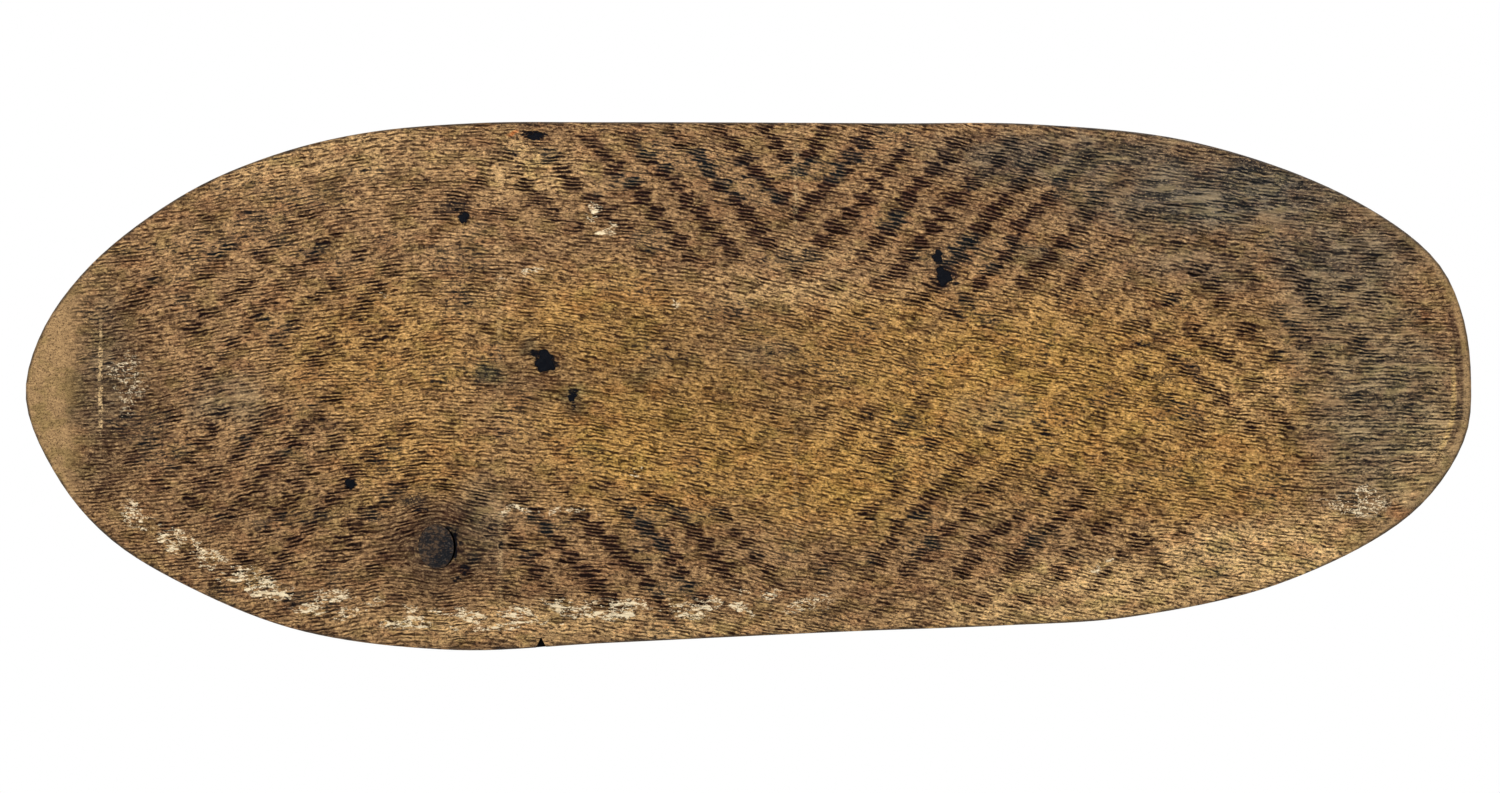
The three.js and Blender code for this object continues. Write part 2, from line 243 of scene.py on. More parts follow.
@dataclass(frozen=True)
class BoardForm:
    """The sizes and surfaces that every piece of the shield is fitted to."""

    half_length: float = 380 * MM
    half_width: float = 139.5 * MM
    crown_rise: float = 40 * MM
    bow_rise: float = 34 * MM
    crown_power: float = 2.4
    bow_power: float = 2.6
    rim_thickness: float = 10 * MM
    nose_inset: float = 2.5 * MM
    board_thickness: float = 31 * MM
    thickness_power: float = 2.0
    face_front: float = -39.5 * MM
    block_margins: tuple[float, float] = (5 * MM, 4 * MM)
    block_depth: float = 120 * MM
    outline_steps: int = 220
    steps_between: int = 24

    # The outline from its left tip over the top edge and back along the lower one, in shares of half
    # the length and half the width.
    outline_shares: tuple[tuple[float, float], ...] = (
        (-1, -0.05), (-0.98, 0.19), (-0.91, 0.456), (-0.78, 0.725), (-0.66, 0.87), (-0.535, 0.955),
        (-0.38, 0.993), (-0.2, 0.996), (0.2, 0.992), (0.4, 0.988), (0.62, 0.92), (0.83, 0.715),
        (0.95, 0.48), (0.987, 0.28), (1, 0.02), (0.991, -0.2), (0.92, -0.475), (0.745, -0.735),
        (0.53, -0.87), (0.35, -0.903), (0.14, -0.925), (-0.2, -0.97), (-0.41, -0.997),
        (-0.62, -0.925), (-0.77, -0.765), (-0.885, -0.573), (-0.957, -0.34),
    )

    @property
    def block_reach(self) -> tuple[float, float]:
        """How far along X and Z the blocks reach that the board's blank is trimmed by."""
        return self.half_length + self.block_margins[0], self.half_width + self.block_margins[1]

    def face_y(self, x: Array, z: Array) -> Array:
        """The Y of the smooth face over a place on the board."""
        crown = self.crown_rise * np.abs(z / self.half_width) ** self.crown_power
        return self.face_front + crown + self.bow_rise * np.abs(x / self.half_length) ** self.bow_power

    def place(self, along_share: float, across_share: float) -> tuple[float, float]:
        """The X and Z of a place given in shares of half the length and half the width."""
        return along_share * self.half_length, across_share * self.half_width

    def outline(self) -> Array:
        """The board's edge as evenly spaced X and Z, from a closed centripetal curve.

        Returns:
            An array with one row for each point.
        """
        knots = np.array(self.outline_shares) * (self.half_length, self.half_width)
        before, after, beyond = (np.roll(knots, steps, 0) for steps in (1, -1, -2))
        gap = np.sqrt(np.linalg.norm(after - knots, axis=1))[:, None]
        gap_before, gap_after = np.roll(gap, 1, 0), np.roll(gap, -1, 0)
        chord = (after - knots) / gap
        leave = (knots - before) / gap_before - (after - before) / (gap_before + gap) + chord
        arrive = chord - (beyond - knots) / (gap + gap_after) + (beyond - after) / gap_after
        share = np.linspace(0, 1, self.steps_between, endpoint=False)[None, :, None]
        leave, arrive = (leave * gap)[:, None], (arrive * gap)[:, None]
        start, end = knots[:, None], after[:, None]
        cubic = 2 * start - 2 * end + leave + arrive
        square = -3 * start + 3 * end - 2 * leave - arrive
        fine = (start + leave * share + square * share**2 + cubic * share**3).reshape(-1, 2)
        closed = np.vstack([fine, fine[:1]])
        reach = np.concatenate([[0], np.cumsum(np.linalg.norm(np.diff(closed, axis=0), axis=1))])
        even = np.linspace(0, reach[-1], self.outline_steps, endpoint=False)
        return np.column_stack([np.interp(even, reach, closed[:, axis]) for axis in (0, 1)])

    def inset_outline(self, distance: float) -> Array:
        """The outline drawn in, square to its own run.

        Args:
            distance: How far it is drawn in.

        Returns:
            An array with one row for each point.
        """
        edge = self.outline()
        along = np.roll(edge, -1, 0) - np.roll(edge, 1, 0)
        along /= np.linalg.norm(along, axis=1)[:, None]
        return edge + distance * np.column_stack([along[:, 1], -along[:, 0]])

    def back_y(self, x: Array, z: Array) -> Array:
        """The Y of the hollowed back, which thins from the middle to the rim.

        Args:
            x: The places along the board.
            z: The places across it.

        Returns:
            The Y at each place.
        """
        inner = self.inset_outline(self.rim_thickness / 2)
        angle, radius = np.arctan2(inner[:, 1], inner[:, 0]), np.hypot(inner[:, 0], inner[:, 1])
        order = np.argsort(angle)
        reach = np.interp(np.arctan2(z, x), angle[order], radius[order], period=2 * math.pi)
        share = np.clip(np.hypot(x, z) / reach, 0, 1)
        extra = (self.board_thickness - self.rim_thickness) * (1 - share**self.thickness_power)
        return self.face_y(x, z) + self.rim_thickness + extra


@dataclass(frozen=True)
class Knot:
    """A knot or stopping on the face: its place in shares of the board, and its half sizes."""

    node: str
    place_shares: tuple[float, float]
    half_x: float
    half_z: float
    grain_push: float

    def middle(self, form: BoardForm) -> tuple[float, float]:
        """The X and Z of its middle."""
        return form.place(*self.place_shares)

    def front(self, form: BoardForm) -> float:
        """The Y of the smooth face at its middle."""
        return form.face_y(*self.middle(form))


STOPS = (
    Knot("stop_upper_left", (-0.392, 0.631), 3.2 * MM, 3.2 * MM, 0.9 * MM),
    Knot("stop_centre_large", (-0.279, 0.09), 6.3 * MM, 6.0 * MM, 2.2 * MM),
    Knot("stop_centre_small", (-0.242, -0.042), 2.65 * MM, 2.5 * MM, 0.9 * MM),
    Knot("stop_lower_left", (-0.547, -0.366), 3.0 * MM, 3.0 * MM, 0.9 * MM),
    Knot("stop_upper_right_large", (0.268, 0.409), 5.0 * MM, 5.0 * MM, 1.6 * MM),
    Knot("stop_upper_right_small", (0.2597, 0.4843), 3.47 * MM, 3.47 * MM, 0.0),
    Knot("stop_top_edge", (-0.295, 0.94), 4.5 * MM, 2.3 * MM, 0.6 * MM),
)
LARGE_KNOT = Knot("large_knot", (-0.43, -0.603), 9 * MM, 11.5 * MM, 9 * MM)


@dataclass(frozen=True)
class Flutes:
    """The gouged flutes of the face, and the zigzag that their deeper strokes step into."""

    form: BoardForm
    pitch: float = 1.95 * MM
    shallow: float = 0.28 * MM
    deep: float = 0.62 * MM
    wobble: float = 0.28 * MM
    zigzag_period: float = 25 * MM
    zigzag_step: float = 6.6 * MM
    band_height: float = 7.5 * MM
    ridge_lines: tuple[float, ...] = (-130 * MM, 25.5 * MM, 205 * MM)
    ridge_half_width: float = 1.6 * MM
    left_margin: float = -351 * MM
    right_margin: float = 374.5 * MM
    margin_fade: float = 9 * MM
    column_pitch: float = 2.6 * MM
    least_core: float = 0.5 * MM
    edge_samples: int = 60
    height_rounds: int = 24
    seed: int = 7

    # How far the flutes lean down to the right, in degrees, at shares of half the length.
    lean_places: tuple[float, ...] = (-0.9, -0.7, -0.47, -0.37, -0.15, 0.05, 0.3, 0.55, 0.7, 0.85, 1.0)
    lean_degrees: tuple[float, ...] = (-5, -9, -4, 4, 8, 12, 12, 11, 8, 2, -2)

    def lean_run(self, x: Array) -> Array:
        """How far the flutes have climbed or sunk, from the middle of the board.

        Args:
            x: The places along the board.

        Returns:
            The climb at each place.
        """
        fine = np.linspace(-1.1, 1.1, 400) * self.form.half_length
        degrees = np.interp(fine / self.form.half_length, self.lean_places, self.lean_degrees)
        climb = np.cumsum(-np.tan(np.radians(degrees))) * (fine[1] - fine[0])
        return np.interp(x, fine, climb - np.interp(0, fine, climb))

    def sway(self, x: Array, z: Array) -> Array:
        """The slow unevenness of a line cut by hand."""
        broad = 0.9 * MM * np.sin(x / (23 * MM) + z / (31 * MM))
        close = 0.45 * MM * np.sin(x / (9 * MM) - z / (13 * MM) + 1.3)
        return broad + close + 0.5 * MM * np.sin(z / (8 * MM) + x / (60 * MM))

    def swirl(self, x: Array, z: Array, knot: Knot) -> Array:
        """How far the flutes are pushed aside as they pass a knot.

        Args:
            x: The places along the board.
            z: The places across it.
            knot: The knot.

        Returns:
            The push at each place.
        """
        middle_x, middle_z = knot.middle(self.form)
        across, upward = x - middle_x, z - middle_z
        core = 1.25 * max(knot.grain_push, self.least_core)
        fade = np.exp(-0.5 * (across / (1.3 * knot.half_x)) ** 2 - np.abs(upward) / (3 * knot.half_z))
        return knot.grain_push * upward / np.hypot(upward, core) * fade

    def number(self, x: Array, z: Array) -> Array:
        """The running number of the flute at a place: whole in a valley, a half on a crest."""
        pushed = sum(self.swirl(x, z, knot) for knot in (*STOPS, LARGE_KNOT))
        return (z - self.lean_run(x) - self.sway(x, z) - pushed) / self.pitch

    def height_of(self, x: Array, number: Array) -> Array:
        """The Z at which a flute passes X, found by closing in on its number.

        Args:
            x: The places along the board.
            number: The flute's number at each.

        Returns:
            The Z at each.
        """
        z = number * self.pitch + self.lean_run(x)
        for _ in range(self.height_rounds):
            z = z - 0.7 * (self.number(x, z) - number) * self.pitch
        return z

    def zigzag_run(self, x: Array) -> Array:
        """The distance along the zigzag, which turns back at each ridge line, in its own periods."""
        stations = (-2 * self.form.half_length, *self.ridge_lines, 2 * self.form.half_length)
        steps = np.diff(stations) * [(-1) ** place for place in range(len(stations) - 1)]
        return np.interp(x, stations, [0.0, *np.cumsum(steps)]) / self.zigzag_period

    def stroke(self, x: Array, z: Array) -> Array:
        """How deep in a stroke of the zigzag a place is, from 0 to 1."""
        shift = self.zigzag_step / self.zigzag_period * np.floor(z / self.band_height)
        phase = np.mod(self.zigzag_run(x) - shift, 1)
        return smooth_rise(phase, 0.0, 0.1) * (1 - smooth_rise(phase, 0.25, 0.5))

    def strength(self, x: Array) -> Array:
        """How fully the face is fluted: not at all at the tips, and little on a ridge line.

        Args:
            x: The places along the board.

        Returns:
            The share of the full depth at each place.
        """
        fade = self.margin_fade / 2
        left = smooth_rise(x, self.left_margin - fade, self.left_margin + fade)
        right = 1 - smooth_rise(x, self.right_margin - fade, self.right_margin + fade)
        on_ridge = sum(np.exp(-0.5 * ((x - line) / self.ridge_half_width) ** 2) for line in self.ridge_lines)
        return left * right * (1 - 0.6 * on_ridge)

    def relief(self, flat: Array, first: int, last: int) -> Array:
        """Bends a flat grid into the fluted face, with two rows of its points to each flute.

        Args:
            flat: The grid's places, from -0.5 to 0.5 both ways.
            first: The number of the lowest flute.
            last: The number of the highest.

        Returns:
            The places on the face.
        """
        x = 2 * self.form.block_reach[0] * flat[:, 0]
        number = np.round(2 * (first + (last - first) * (flat[:, 1] + 0.5))) / 2
        z = self.height_of(x, number)
        row = np.round(2 * (number - first)).astype(int)
        chance = np.random.default_rng(self.seed).uniform(0, 1, (4, row.max() + 1))[:, row]
        z += self.wobble * np.sin(x / ((4 + 5 * chance[0]) * MM) + 2 * math.pi * chance[1])
        in_valley = 1 - 2 * np.abs(number - np.round(number))
        broken = 0.65 + 0.35 * np.sin(x / ((3 + 4 * chance[2]) * MM) + 2 * math.pi * chance[3])
        depth = (self.shallow + self.deep * self.stroke(x, z)) * self.strength(x)
        depth *= in_valley * broken * (0.6 + 0.8 * chance[1])
        return points(x, self.form.face_y(x, z) + depth, z)

    def make_block(self) -> Piece:
        """Makes the solid whose front is the fluted face, reaching well beyond the board.

        Returns:
            The solid, which the board's blank is trimmed by.
        """
        reach_x, reach_z = self.form.block_reach
        along = np.linspace(-reach_x, reach_x, self.edge_samples)
        lowest, highest = (self.number(along, np.full_like(along, z)) for z in (-reach_z, reach_z))
        first, last = math.floor(lowest.min()), math.ceil(highest.max())
        steps = (round(2 * reach_x / self.column_pitch), 2 * (last - first))
        far_y = self.form.face_front + self.form.block_depth
        return bent_block("fluted_sheet", steps, lambda flat: self.relief(flat, first, last), far_y)


@dataclass(frozen=True)
class HollowBack:
    """The back, hollowed with broad shallow cuts of a round-nosed tool."""

    form: BoardForm
    cut_width: float = 15 * MM
    cut_length: float = 44 * MM
    cut_depth: float = 0.8 * MM
    row_shift: float = 0.37
    grid_pitch: float = 3.6 * MM

    def cut(self, x: Array, z: Array) -> Array:
        """The depth of the tool's cuts at a place.

        Args:
            x: The places along the board.
            z: The places across it.

        Returns:
            The depth at each place.
        """
        lane = z / self.cut_width + 0.25 * np.sin(x / (70 * MM)) + 0.12 * np.sin(x / (21 * MM) + 2)
        row = np.floor(lane)
        cross = 4 * (lane - row) * (1 - lane + row)
        along = np.mod(x / self.cut_length + self.row_shift * row + 0.2 * np.sin(9 * row), 1)
        return self.cut_depth * cross * smooth_rise(along, 0, 0.18) * (1 - 0.6 * smooth_rise(along, 0.3, 1))

    def relief(self, flat: Array) -> Array:
        """Bends a flat grid into the hollowed back."""
        x, z = (2 * reach * flat[:, axis] for axis, reach in enumerate(self.form.block_reach))
        return points(x, self.form.back_y(x, z) - self.cut(x, z), z)

    def make_block(self) -> Piece:
        """Makes the solid whose back is the hollowed back, reaching well beyond the board."""
        steps = tuple(round(2 * reach / self.grid_pitch) for reach in self.form.block_reach)
        return bent_block("hollowed_sheet", steps, self.relief, self.form.face_front - self.form.block_depth)


# The grip and what holds it


@dataclass(frozen=True)
class GripSizes:
    """The sizes of the grip bar, of the well behind it and of the boss that carries it."""

    width: float = 21 * MM
    depth: float = 17 * MM
    end_width: float = 18 * MM
    end_depth: float = 14 * MM
    housing_length: float = 20 * MM
    bed: float = 2.2 * MM
    peg_radius: float = 3.5 * MM
    seat_gap: float = 0.3 * MM
    well_half_length: float = 61 * MM
    well_half_width: float = 39 * MM
    well_floor_y: float = -28.5 * MM
    well_draw: float = 17 * MM
    boss_end_wall: float = 16 * MM
    boss_side_wall: float = 13 * MM
    boss_foot_spread: float = 14 * MM
    boss_power: float = 2.3
    well_power: float = 2.6
    hand_power: float = 2.2
    end_power: float = 7.0
    lip_radius: float = 2.2 * MM
    overrun: float = 4 * MM

    @property
    def half_length(self) -> float:
        """Half the bar's length."""
        return self.well_half_length + self.housing_length

    @property
    def boss_half_length(self) -> float:
        """Half the length of the boss's flat top."""
        return self.half_length + self.boss_end_wall

    @property
    def boss_half_width(self) -> float:
        """Half the width of the boss's flat top."""
        return self.well_half_width + self.boss_side_wall

    @property
    def boss_top_y(self) -> float:
        """The Y of the boss's flat top, flush with the bar's ends."""
        return self.end_depth / 2

    @property
    def peg_x(self) -> float:
        """The distance of each peg from the middle of the bar."""
        return self.well_half_length + self.housing_length / 2


def quarter_turns(steps: int) -> list[float]:
    """The angles of even steps through a quarter turn, both ends included."""
    return [math.pi / 2 * step / steps for step in range(steps + 1)]


@dataclass(frozen=True)
class BossAndWell:
    """The raised oval on the back and the scoop in it that the fingers reach into."""

    form: BoardForm
    sizes: GripSizes
    steps_around: int = 128
    flank_steps: int = 12
    well_steps: int = 14
    lip_steps: int = 4
    peg_steps: int = 40

    def stack(self, name: str, mouth: tuple[float, float], power: float, levels: Sequence[tuple]) -> Piece:
        """Makes a solid of oval rings.

        Args:
            name: The solid's name.
            mouth: Half its length and half its width at the boss's top.
            power: How square it is.
            levels: How much larger than the mouth each ring is, and its Y.

        Returns:
            The solid.
        """
        sized = [((mouth[0] + spread, mouth[1] + spread), y) for spread, y in levels]
        return loft(name, [oval_ring(half_sizes, y, power, self.steps_around) for half_sizes, y in sized])

    def lip(self, way: int) -> list[tuple[float, float]]:
        """The levels of the rounded lip, which turns inwards with -1 and outwards with 1."""
        radius, top = self.sizes.lip_radius, self.sizes.boss_top_y
        turns = quarter_turns(self.lip_steps)[1:]
        return [(way * radius * (1 - math.cos(turn)), top - radius * (1 - math.sin(turn))) for turn in turns]

    def make_boss(self) -> Piece:
        """Makes the boss, spread at its foot, rounded at its lip and sunk into the board.

        Returns:
            The solid.
        """
        sizes = self.sizes
        back_y = self.form.face_front + self.form.board_thickness
        levels = [(sizes.boss_foot_spread, (self.form.face_front + back_y) / 2)]
        for step in range(self.flank_steps + 1):
            y = back_y + (sizes.boss_top_y - sizes.lip_radius - back_y) * (step / self.flank_steps)
            share = (y - back_y) / (sizes.boss_top_y - back_y)
            levels.append((sizes.boss_foot_spread * (1 - share) ** 2, y))
        mouth = (sizes.boss_half_length, sizes.boss_half_width)
        return self.stack("boss", mouth, sizes.boss_power, levels + self.lip(-1))

    def make_well(self) -> Piece:
        """Makes the scoop to be cut out: steep at its rounded mouth, drawn in to a rounded floor.

        Returns:
            The solid to cut with.
        """
        sizes = self.sizes
        floor_y, depth = sizes.well_floor_y, sizes.boss_top_y - sizes.lip_radius - sizes.well_floor_y
        levels = [
            (-sizes.well_draw * (1 - math.sin(turn)), floor_y + depth * (1 - math.cos(turn)))
            for turn in quarter_turns(self.well_steps)
        ]
        levels += [*self.lip(1), (sizes.lip_radius, sizes.boss_top_y + sizes.overrun)]
        return self.stack("well", (sizes.well_half_length, sizes.well_half_width), sizes.well_power, levels)

    def make_housing(self, side: Side) -> Piece:
        """Makes the block of space that holds one end of the bar and its bed.

        Args:
            side: The end of the bar.

        Returns:
            The solid to cut with.
        """
        sizes = self.sizes
        slack = sizes.bed + sizes.seat_gap
        inside = sizes.well_half_length - sizes.well_draw
        outside = sizes.half_length + slack
        bottom, top = -sizes.end_depth / 2 - slack, sizes.boss_top_y + sizes.overrun
        mesh = bmesh.new()
        bmesh.ops.create_cube(mesh, size=1.0)
        size = Vector((outside - inside, top - bottom, sizes.end_width + 2 * slack))
        middle = Vector((side.value * (inside + outside) / 2, (bottom + top) / 2, 0))
        bmesh.ops.scale(mesh, vec=size, verts=mesh.verts)
        bmesh.ops.translate(mesh, vec=middle, verts=mesh.verts)
        return as_object("housing", mesh)

    def make_peg_blank(self, side: Side, slack: float) -> Piece:
        """Makes a round peg that reaches right across the boss.

        Args:
            side: The end of the bar that it pins.
            slack: How much larger than the real peg it is.

        Returns:
            The solid.
        """
        length = 2 * (self.sizes.boss_half_width + self.sizes.boss_foot_spread)
        radius = self.sizes.peg_radius + slack
        round_sizes = {"radius1": radius, "radius2": radius, "depth": length}
        mesh = bmesh.new()
        bmesh.ops.create_cone(mesh, cap_ends=True, segments=self.peg_steps, **round_sizes)
        bmesh.ops.translate(mesh, vec=Vector((side.value * self.sizes.peg_x, 0, 0)), verts=mesh.verts)
        return as_object("peg_blank", mesh)


@dataclass(frozen=True)
class GripBar:
    """The bar that the hand closes round: squared where it is housed, rounded where it is held."""

    sizes: GripSizes
    steps_along: int = 96
    steps_around: int = 56
    end_chamfer: float = 0.7 * MM
    facets_around: int = 11
    facet_depth: float = 0.22 * MM

    def section(self, x: float) -> Array:
        """One section of the bar.

        Args:
            x: Its place along the bar.

        Returns:
            Its points.
        """
        sizes = self.sizes
        swell = math.cos(math.pi * min(abs(x) / sizes.well_half_length, 1) / 2) ** 2
        half_y = (sizes.end_depth + (sizes.depth - sizes.end_depth) * swell) / 2
        half_z = (sizes.end_width + (sizes.width - sizes.end_width) * swell) / 2
        power = sizes.end_power + (sizes.hand_power - sizes.end_power) * math.sqrt(swell)
        flat = oval_ring((half_y, half_z), 0.0, power, self.steps_around)
        turn = self.facets_around * angles_round(self.steps_around) + 1.3 * math.sin(x / (14 * MM))
        facets = (0.5 + 0.5 * np.cos(turn)) * (0.6 + 0.4 * math.sin(x / (9 * MM) + 1))
        shrink = 1 - self.facet_depth * facets * swell / half_y
        return points(x, flat[:, 0] * shrink, flat[:, 2] * shrink)

    def make(self, pegs: Sequence[Piece]) -> Piece:
        """Makes the bar, bored for its pegs.

        Args:
            pegs: The pegs' own spaces, which are used up.

        Returns:
            The bar.
        """
        half, steps = self.sizes.half_length, self.steps_along
        rings = [self.section(half * (2 * step / steps - 1)) for step in range(steps + 1)]
        caps = [rings[0].copy(), rings[-1].copy()]
        for ring, cap, inward in zip((rings[0], rings[-1]), caps, (1, -1)):
            cap[:, 1:] *= 1 - self.end_chamfer / (self.sizes.end_depth / 2)
            ring[:, 0] += inward * self.end_chamfer
        bar = loft("hand_grip", [caps[0], *rings, caps[1]])
        carve(bar, Join.CUT, pegs)
        return bar


# Stoppings and the large knot


@dataclass(frozen=True)
class ResinStop:
    """A plug of hard plant resin pressed into a small knot hole, lumpy on top."""

    form: BoardForm
    knot: Knot
    depth: float = 6 * MM
    overrun: float = 6 * MM
    taper: float = 0.8
    seat_gap: float = 0.1 * MM
    lump: float = 0.45 * MM
    lump_pitch: tuple[float, float] = (1.3 * MM, 1.1 * MM)
    sunk: float = 0.25 * MM
    rim_sunk: float = 0.4 * MM
    dome_run: float = 0.97
    dome_overlap: float = 0.03
    dome_share: float = 0.985
    steps_around: int = 64
    rings_across: int = 14

    @property
    def luck(self) -> int:
        """A number of its own, from its name, that makes its outline and lumps differ."""
        return sum(map(ord, self.knot.node))

    def ring(self, share: float, slack: float, lift: float) -> Array:
        """One ring of the plug's uneven outline, set against the face.

        Args:
            share: Its size as a share of the plug's rim.
            slack: How much larger than the real plug it is.
            lift: How far it stands in front of the face.

        Returns:
            Its points.
        """
        angle, luck = angles_round(self.steps_around), self.luck
        uneven = 0.84 + 0.13 * np.sin(2 * angle + luck) + 0.13 * np.sin(3 * angle + 2 * luck)
        uneven += 0.1 * np.sin(5 * angle + luck) + 0.06 * np.sin(9 * angle + 3 * luck)
        middle_x, middle_z = self.knot.middle(self.form)
        x = (self.knot.half_x * uneven + slack) * np.cos(angle) * share + middle_x
        z = (self.knot.half_z * uneven + slack) * np.sin(angle) * share + middle_z
        return points(x, self.form.face_y(x, z) - lift, z)

    def bottom(self, slack: float) -> Array:
        """The ring at the plug's inner end."""
        x, _, z = self.ring(self.taper, slack, 0).T
        return points(x, self.knot.front(self.form) + self.depth + slack, z)

    def make_pocket(self) -> Piece:
        """Makes the space to be cut out of the board."""
        mouths = [self.ring(1, self.seat_gap, lift) for lift in (0, self.overrun)]
        return loft("pocket", [self.bottom(self.seat_gap), *mouths])

    def make(self) -> Piece:
        """Makes the plug, sunk a little at its rim and lumpy on top.

        Returns:
            The plug.
        """
        rings = [self.bottom(0), self.ring(1, 0, -self.sunk - self.rim_sunk)]
        for step in range(1, self.rings_across + 1):
            share = 1 - self.dome_run * step / self.rings_across
            ring = self.ring(min(share + self.dome_overlap, self.dome_share), 0, -self.sunk)
            lumps = np.sin(ring[:, 0] / self.lump_pitch[0] + self.luck)
            lumps *= np.cos(ring[:, 2] / self.lump_pitch[1] + 2 * self.luck)
            ring[:, 1] -= self.lump * (math.sqrt(1 - share**2) * 0.8 + 0.5 * lumps * (1 - share**4))
            rings.append(ring)
        return loft(self.knot.node + "_lump", rings)


@dataclass(frozen=True)
class EncasedKnot:
    """The large dead knot that runs through the board, split away on its right."""

    form: BoardForm
    knot: Knot
    taper: float = 0.8
    seat_gap: float = 0.3 * MM
    overrun: float = 25 * MM
    crescent: float = 1.1 * MM
    crescent_depth: float = 12 * MM
    sunk: float = 0.15 * MM
    back_sunk: float = 0.8 * MM
    back_shares: tuple[float, ...] = (0.97, 0.6, 0.1)
    edge_drop: float = 0.3 * MM
    check_angles: tuple[float, ...] = (1.9, 3.6, 5.0, 0.4)
    check_width: float = 0.05
    check_depth: float = 0.5 * MM
    ring_depth: float = 0.08 * MM
    ring_pitch: float = 1.5 * MM
    middle_share: float = 0.03
    face_run: float = 0.97
    steps_around: int = 128
    rings_across: int = 26

    def oval(self, share: float, slack: float, y: float = 0.0, shift: float = 0.0) -> Array:
        """A ring of the knot's outline.

        Args:
            share: Its size as a share of the knot's.
            slack: How much larger it is besides.
            y: The plane that it lies in.
            shift: How far it is moved along X.

        Returns:
            Its points.
        """
        middle_x, middle_z = self.knot.middle(self.form)
        half_sizes = (self.knot.half_x * share + slack, self.knot.half_z * share + slack)
        return oval_ring(half_sizes, y, 2, self.steps_around) + (middle_x + shift, 0, middle_z)

    def back_ring(self, share: float) -> Array:
        """A ring of the knot's back, at a share of its outline."""
        x, _, z = self.oval(share, 0).T
        return points(x, self.form.back_y(x, z) - self.back_sunk, z)

    def make_hole(self, depth: float, shift: float = 0.0) -> Piece:
        """Makes the space of the knot, or of the crescent crack beside it.

        Args:
            depth: How deep it goes.
            shift: How far it is moved along X.

        Returns:
            The solid to cut with.
        """
        front = self.knot.front(self.form)
        inner = 1 - (1 - self.taper) * depth / self.form.board_thickness
        levels = ((inner, front + depth), (1.0, front), (1.0, front - self.overrun))
        return loft("knot_hole", [self.oval(share, self.seat_gap, y, shift) for share, y in levels])

    def make(self) -> Piece:
        """Makes the knot with its growth rings and checks on the face and a plain sawn look behind.

        Returns:
            The knot.
        """
        angle = angles_round(self.steps_around)
        off_checks = [np.sin((angle - place) / 2) / self.check_width for place in self.check_angles]
        checks = sum(np.exp(-0.5 * off_check**2) for off_check in off_checks)
        rings = []
        for step in range(self.rings_across + 1):
            share = self.middle_share + self.face_run * step / self.rings_across
            x, _, z = self.oval(share, self.seat_gap).T
            growth = np.sin(share * self.knot.half_x / self.ring_pitch * 2 * math.pi + np.sin(3 * angle))
            depth = self.sunk + self.ring_depth * growth + self.check_depth * checks * share * (1 - share**6)
            rings.append(points(x, self.form.face_y(x, z) + depth + self.edge_drop * share**12, z))
        for share in self.back_shares:
            run = (self.back_ring(share)[:, 1] - self.knot.front(self.form)) / self.form.board_thickness
            rings.append(self.back_ring(share * (1 - (1 - self.taper) * float(run.mean()))))
        return loft("dead_knot", rings)


# The board


def read_rows(items: object, name: str) -> Array:
    """Reads a vector of every vertex or face, one row for each."""
    values = np.empty(3 * len(items))
    items.foreach_get(name, values)
    return values.reshape(-1, 3)


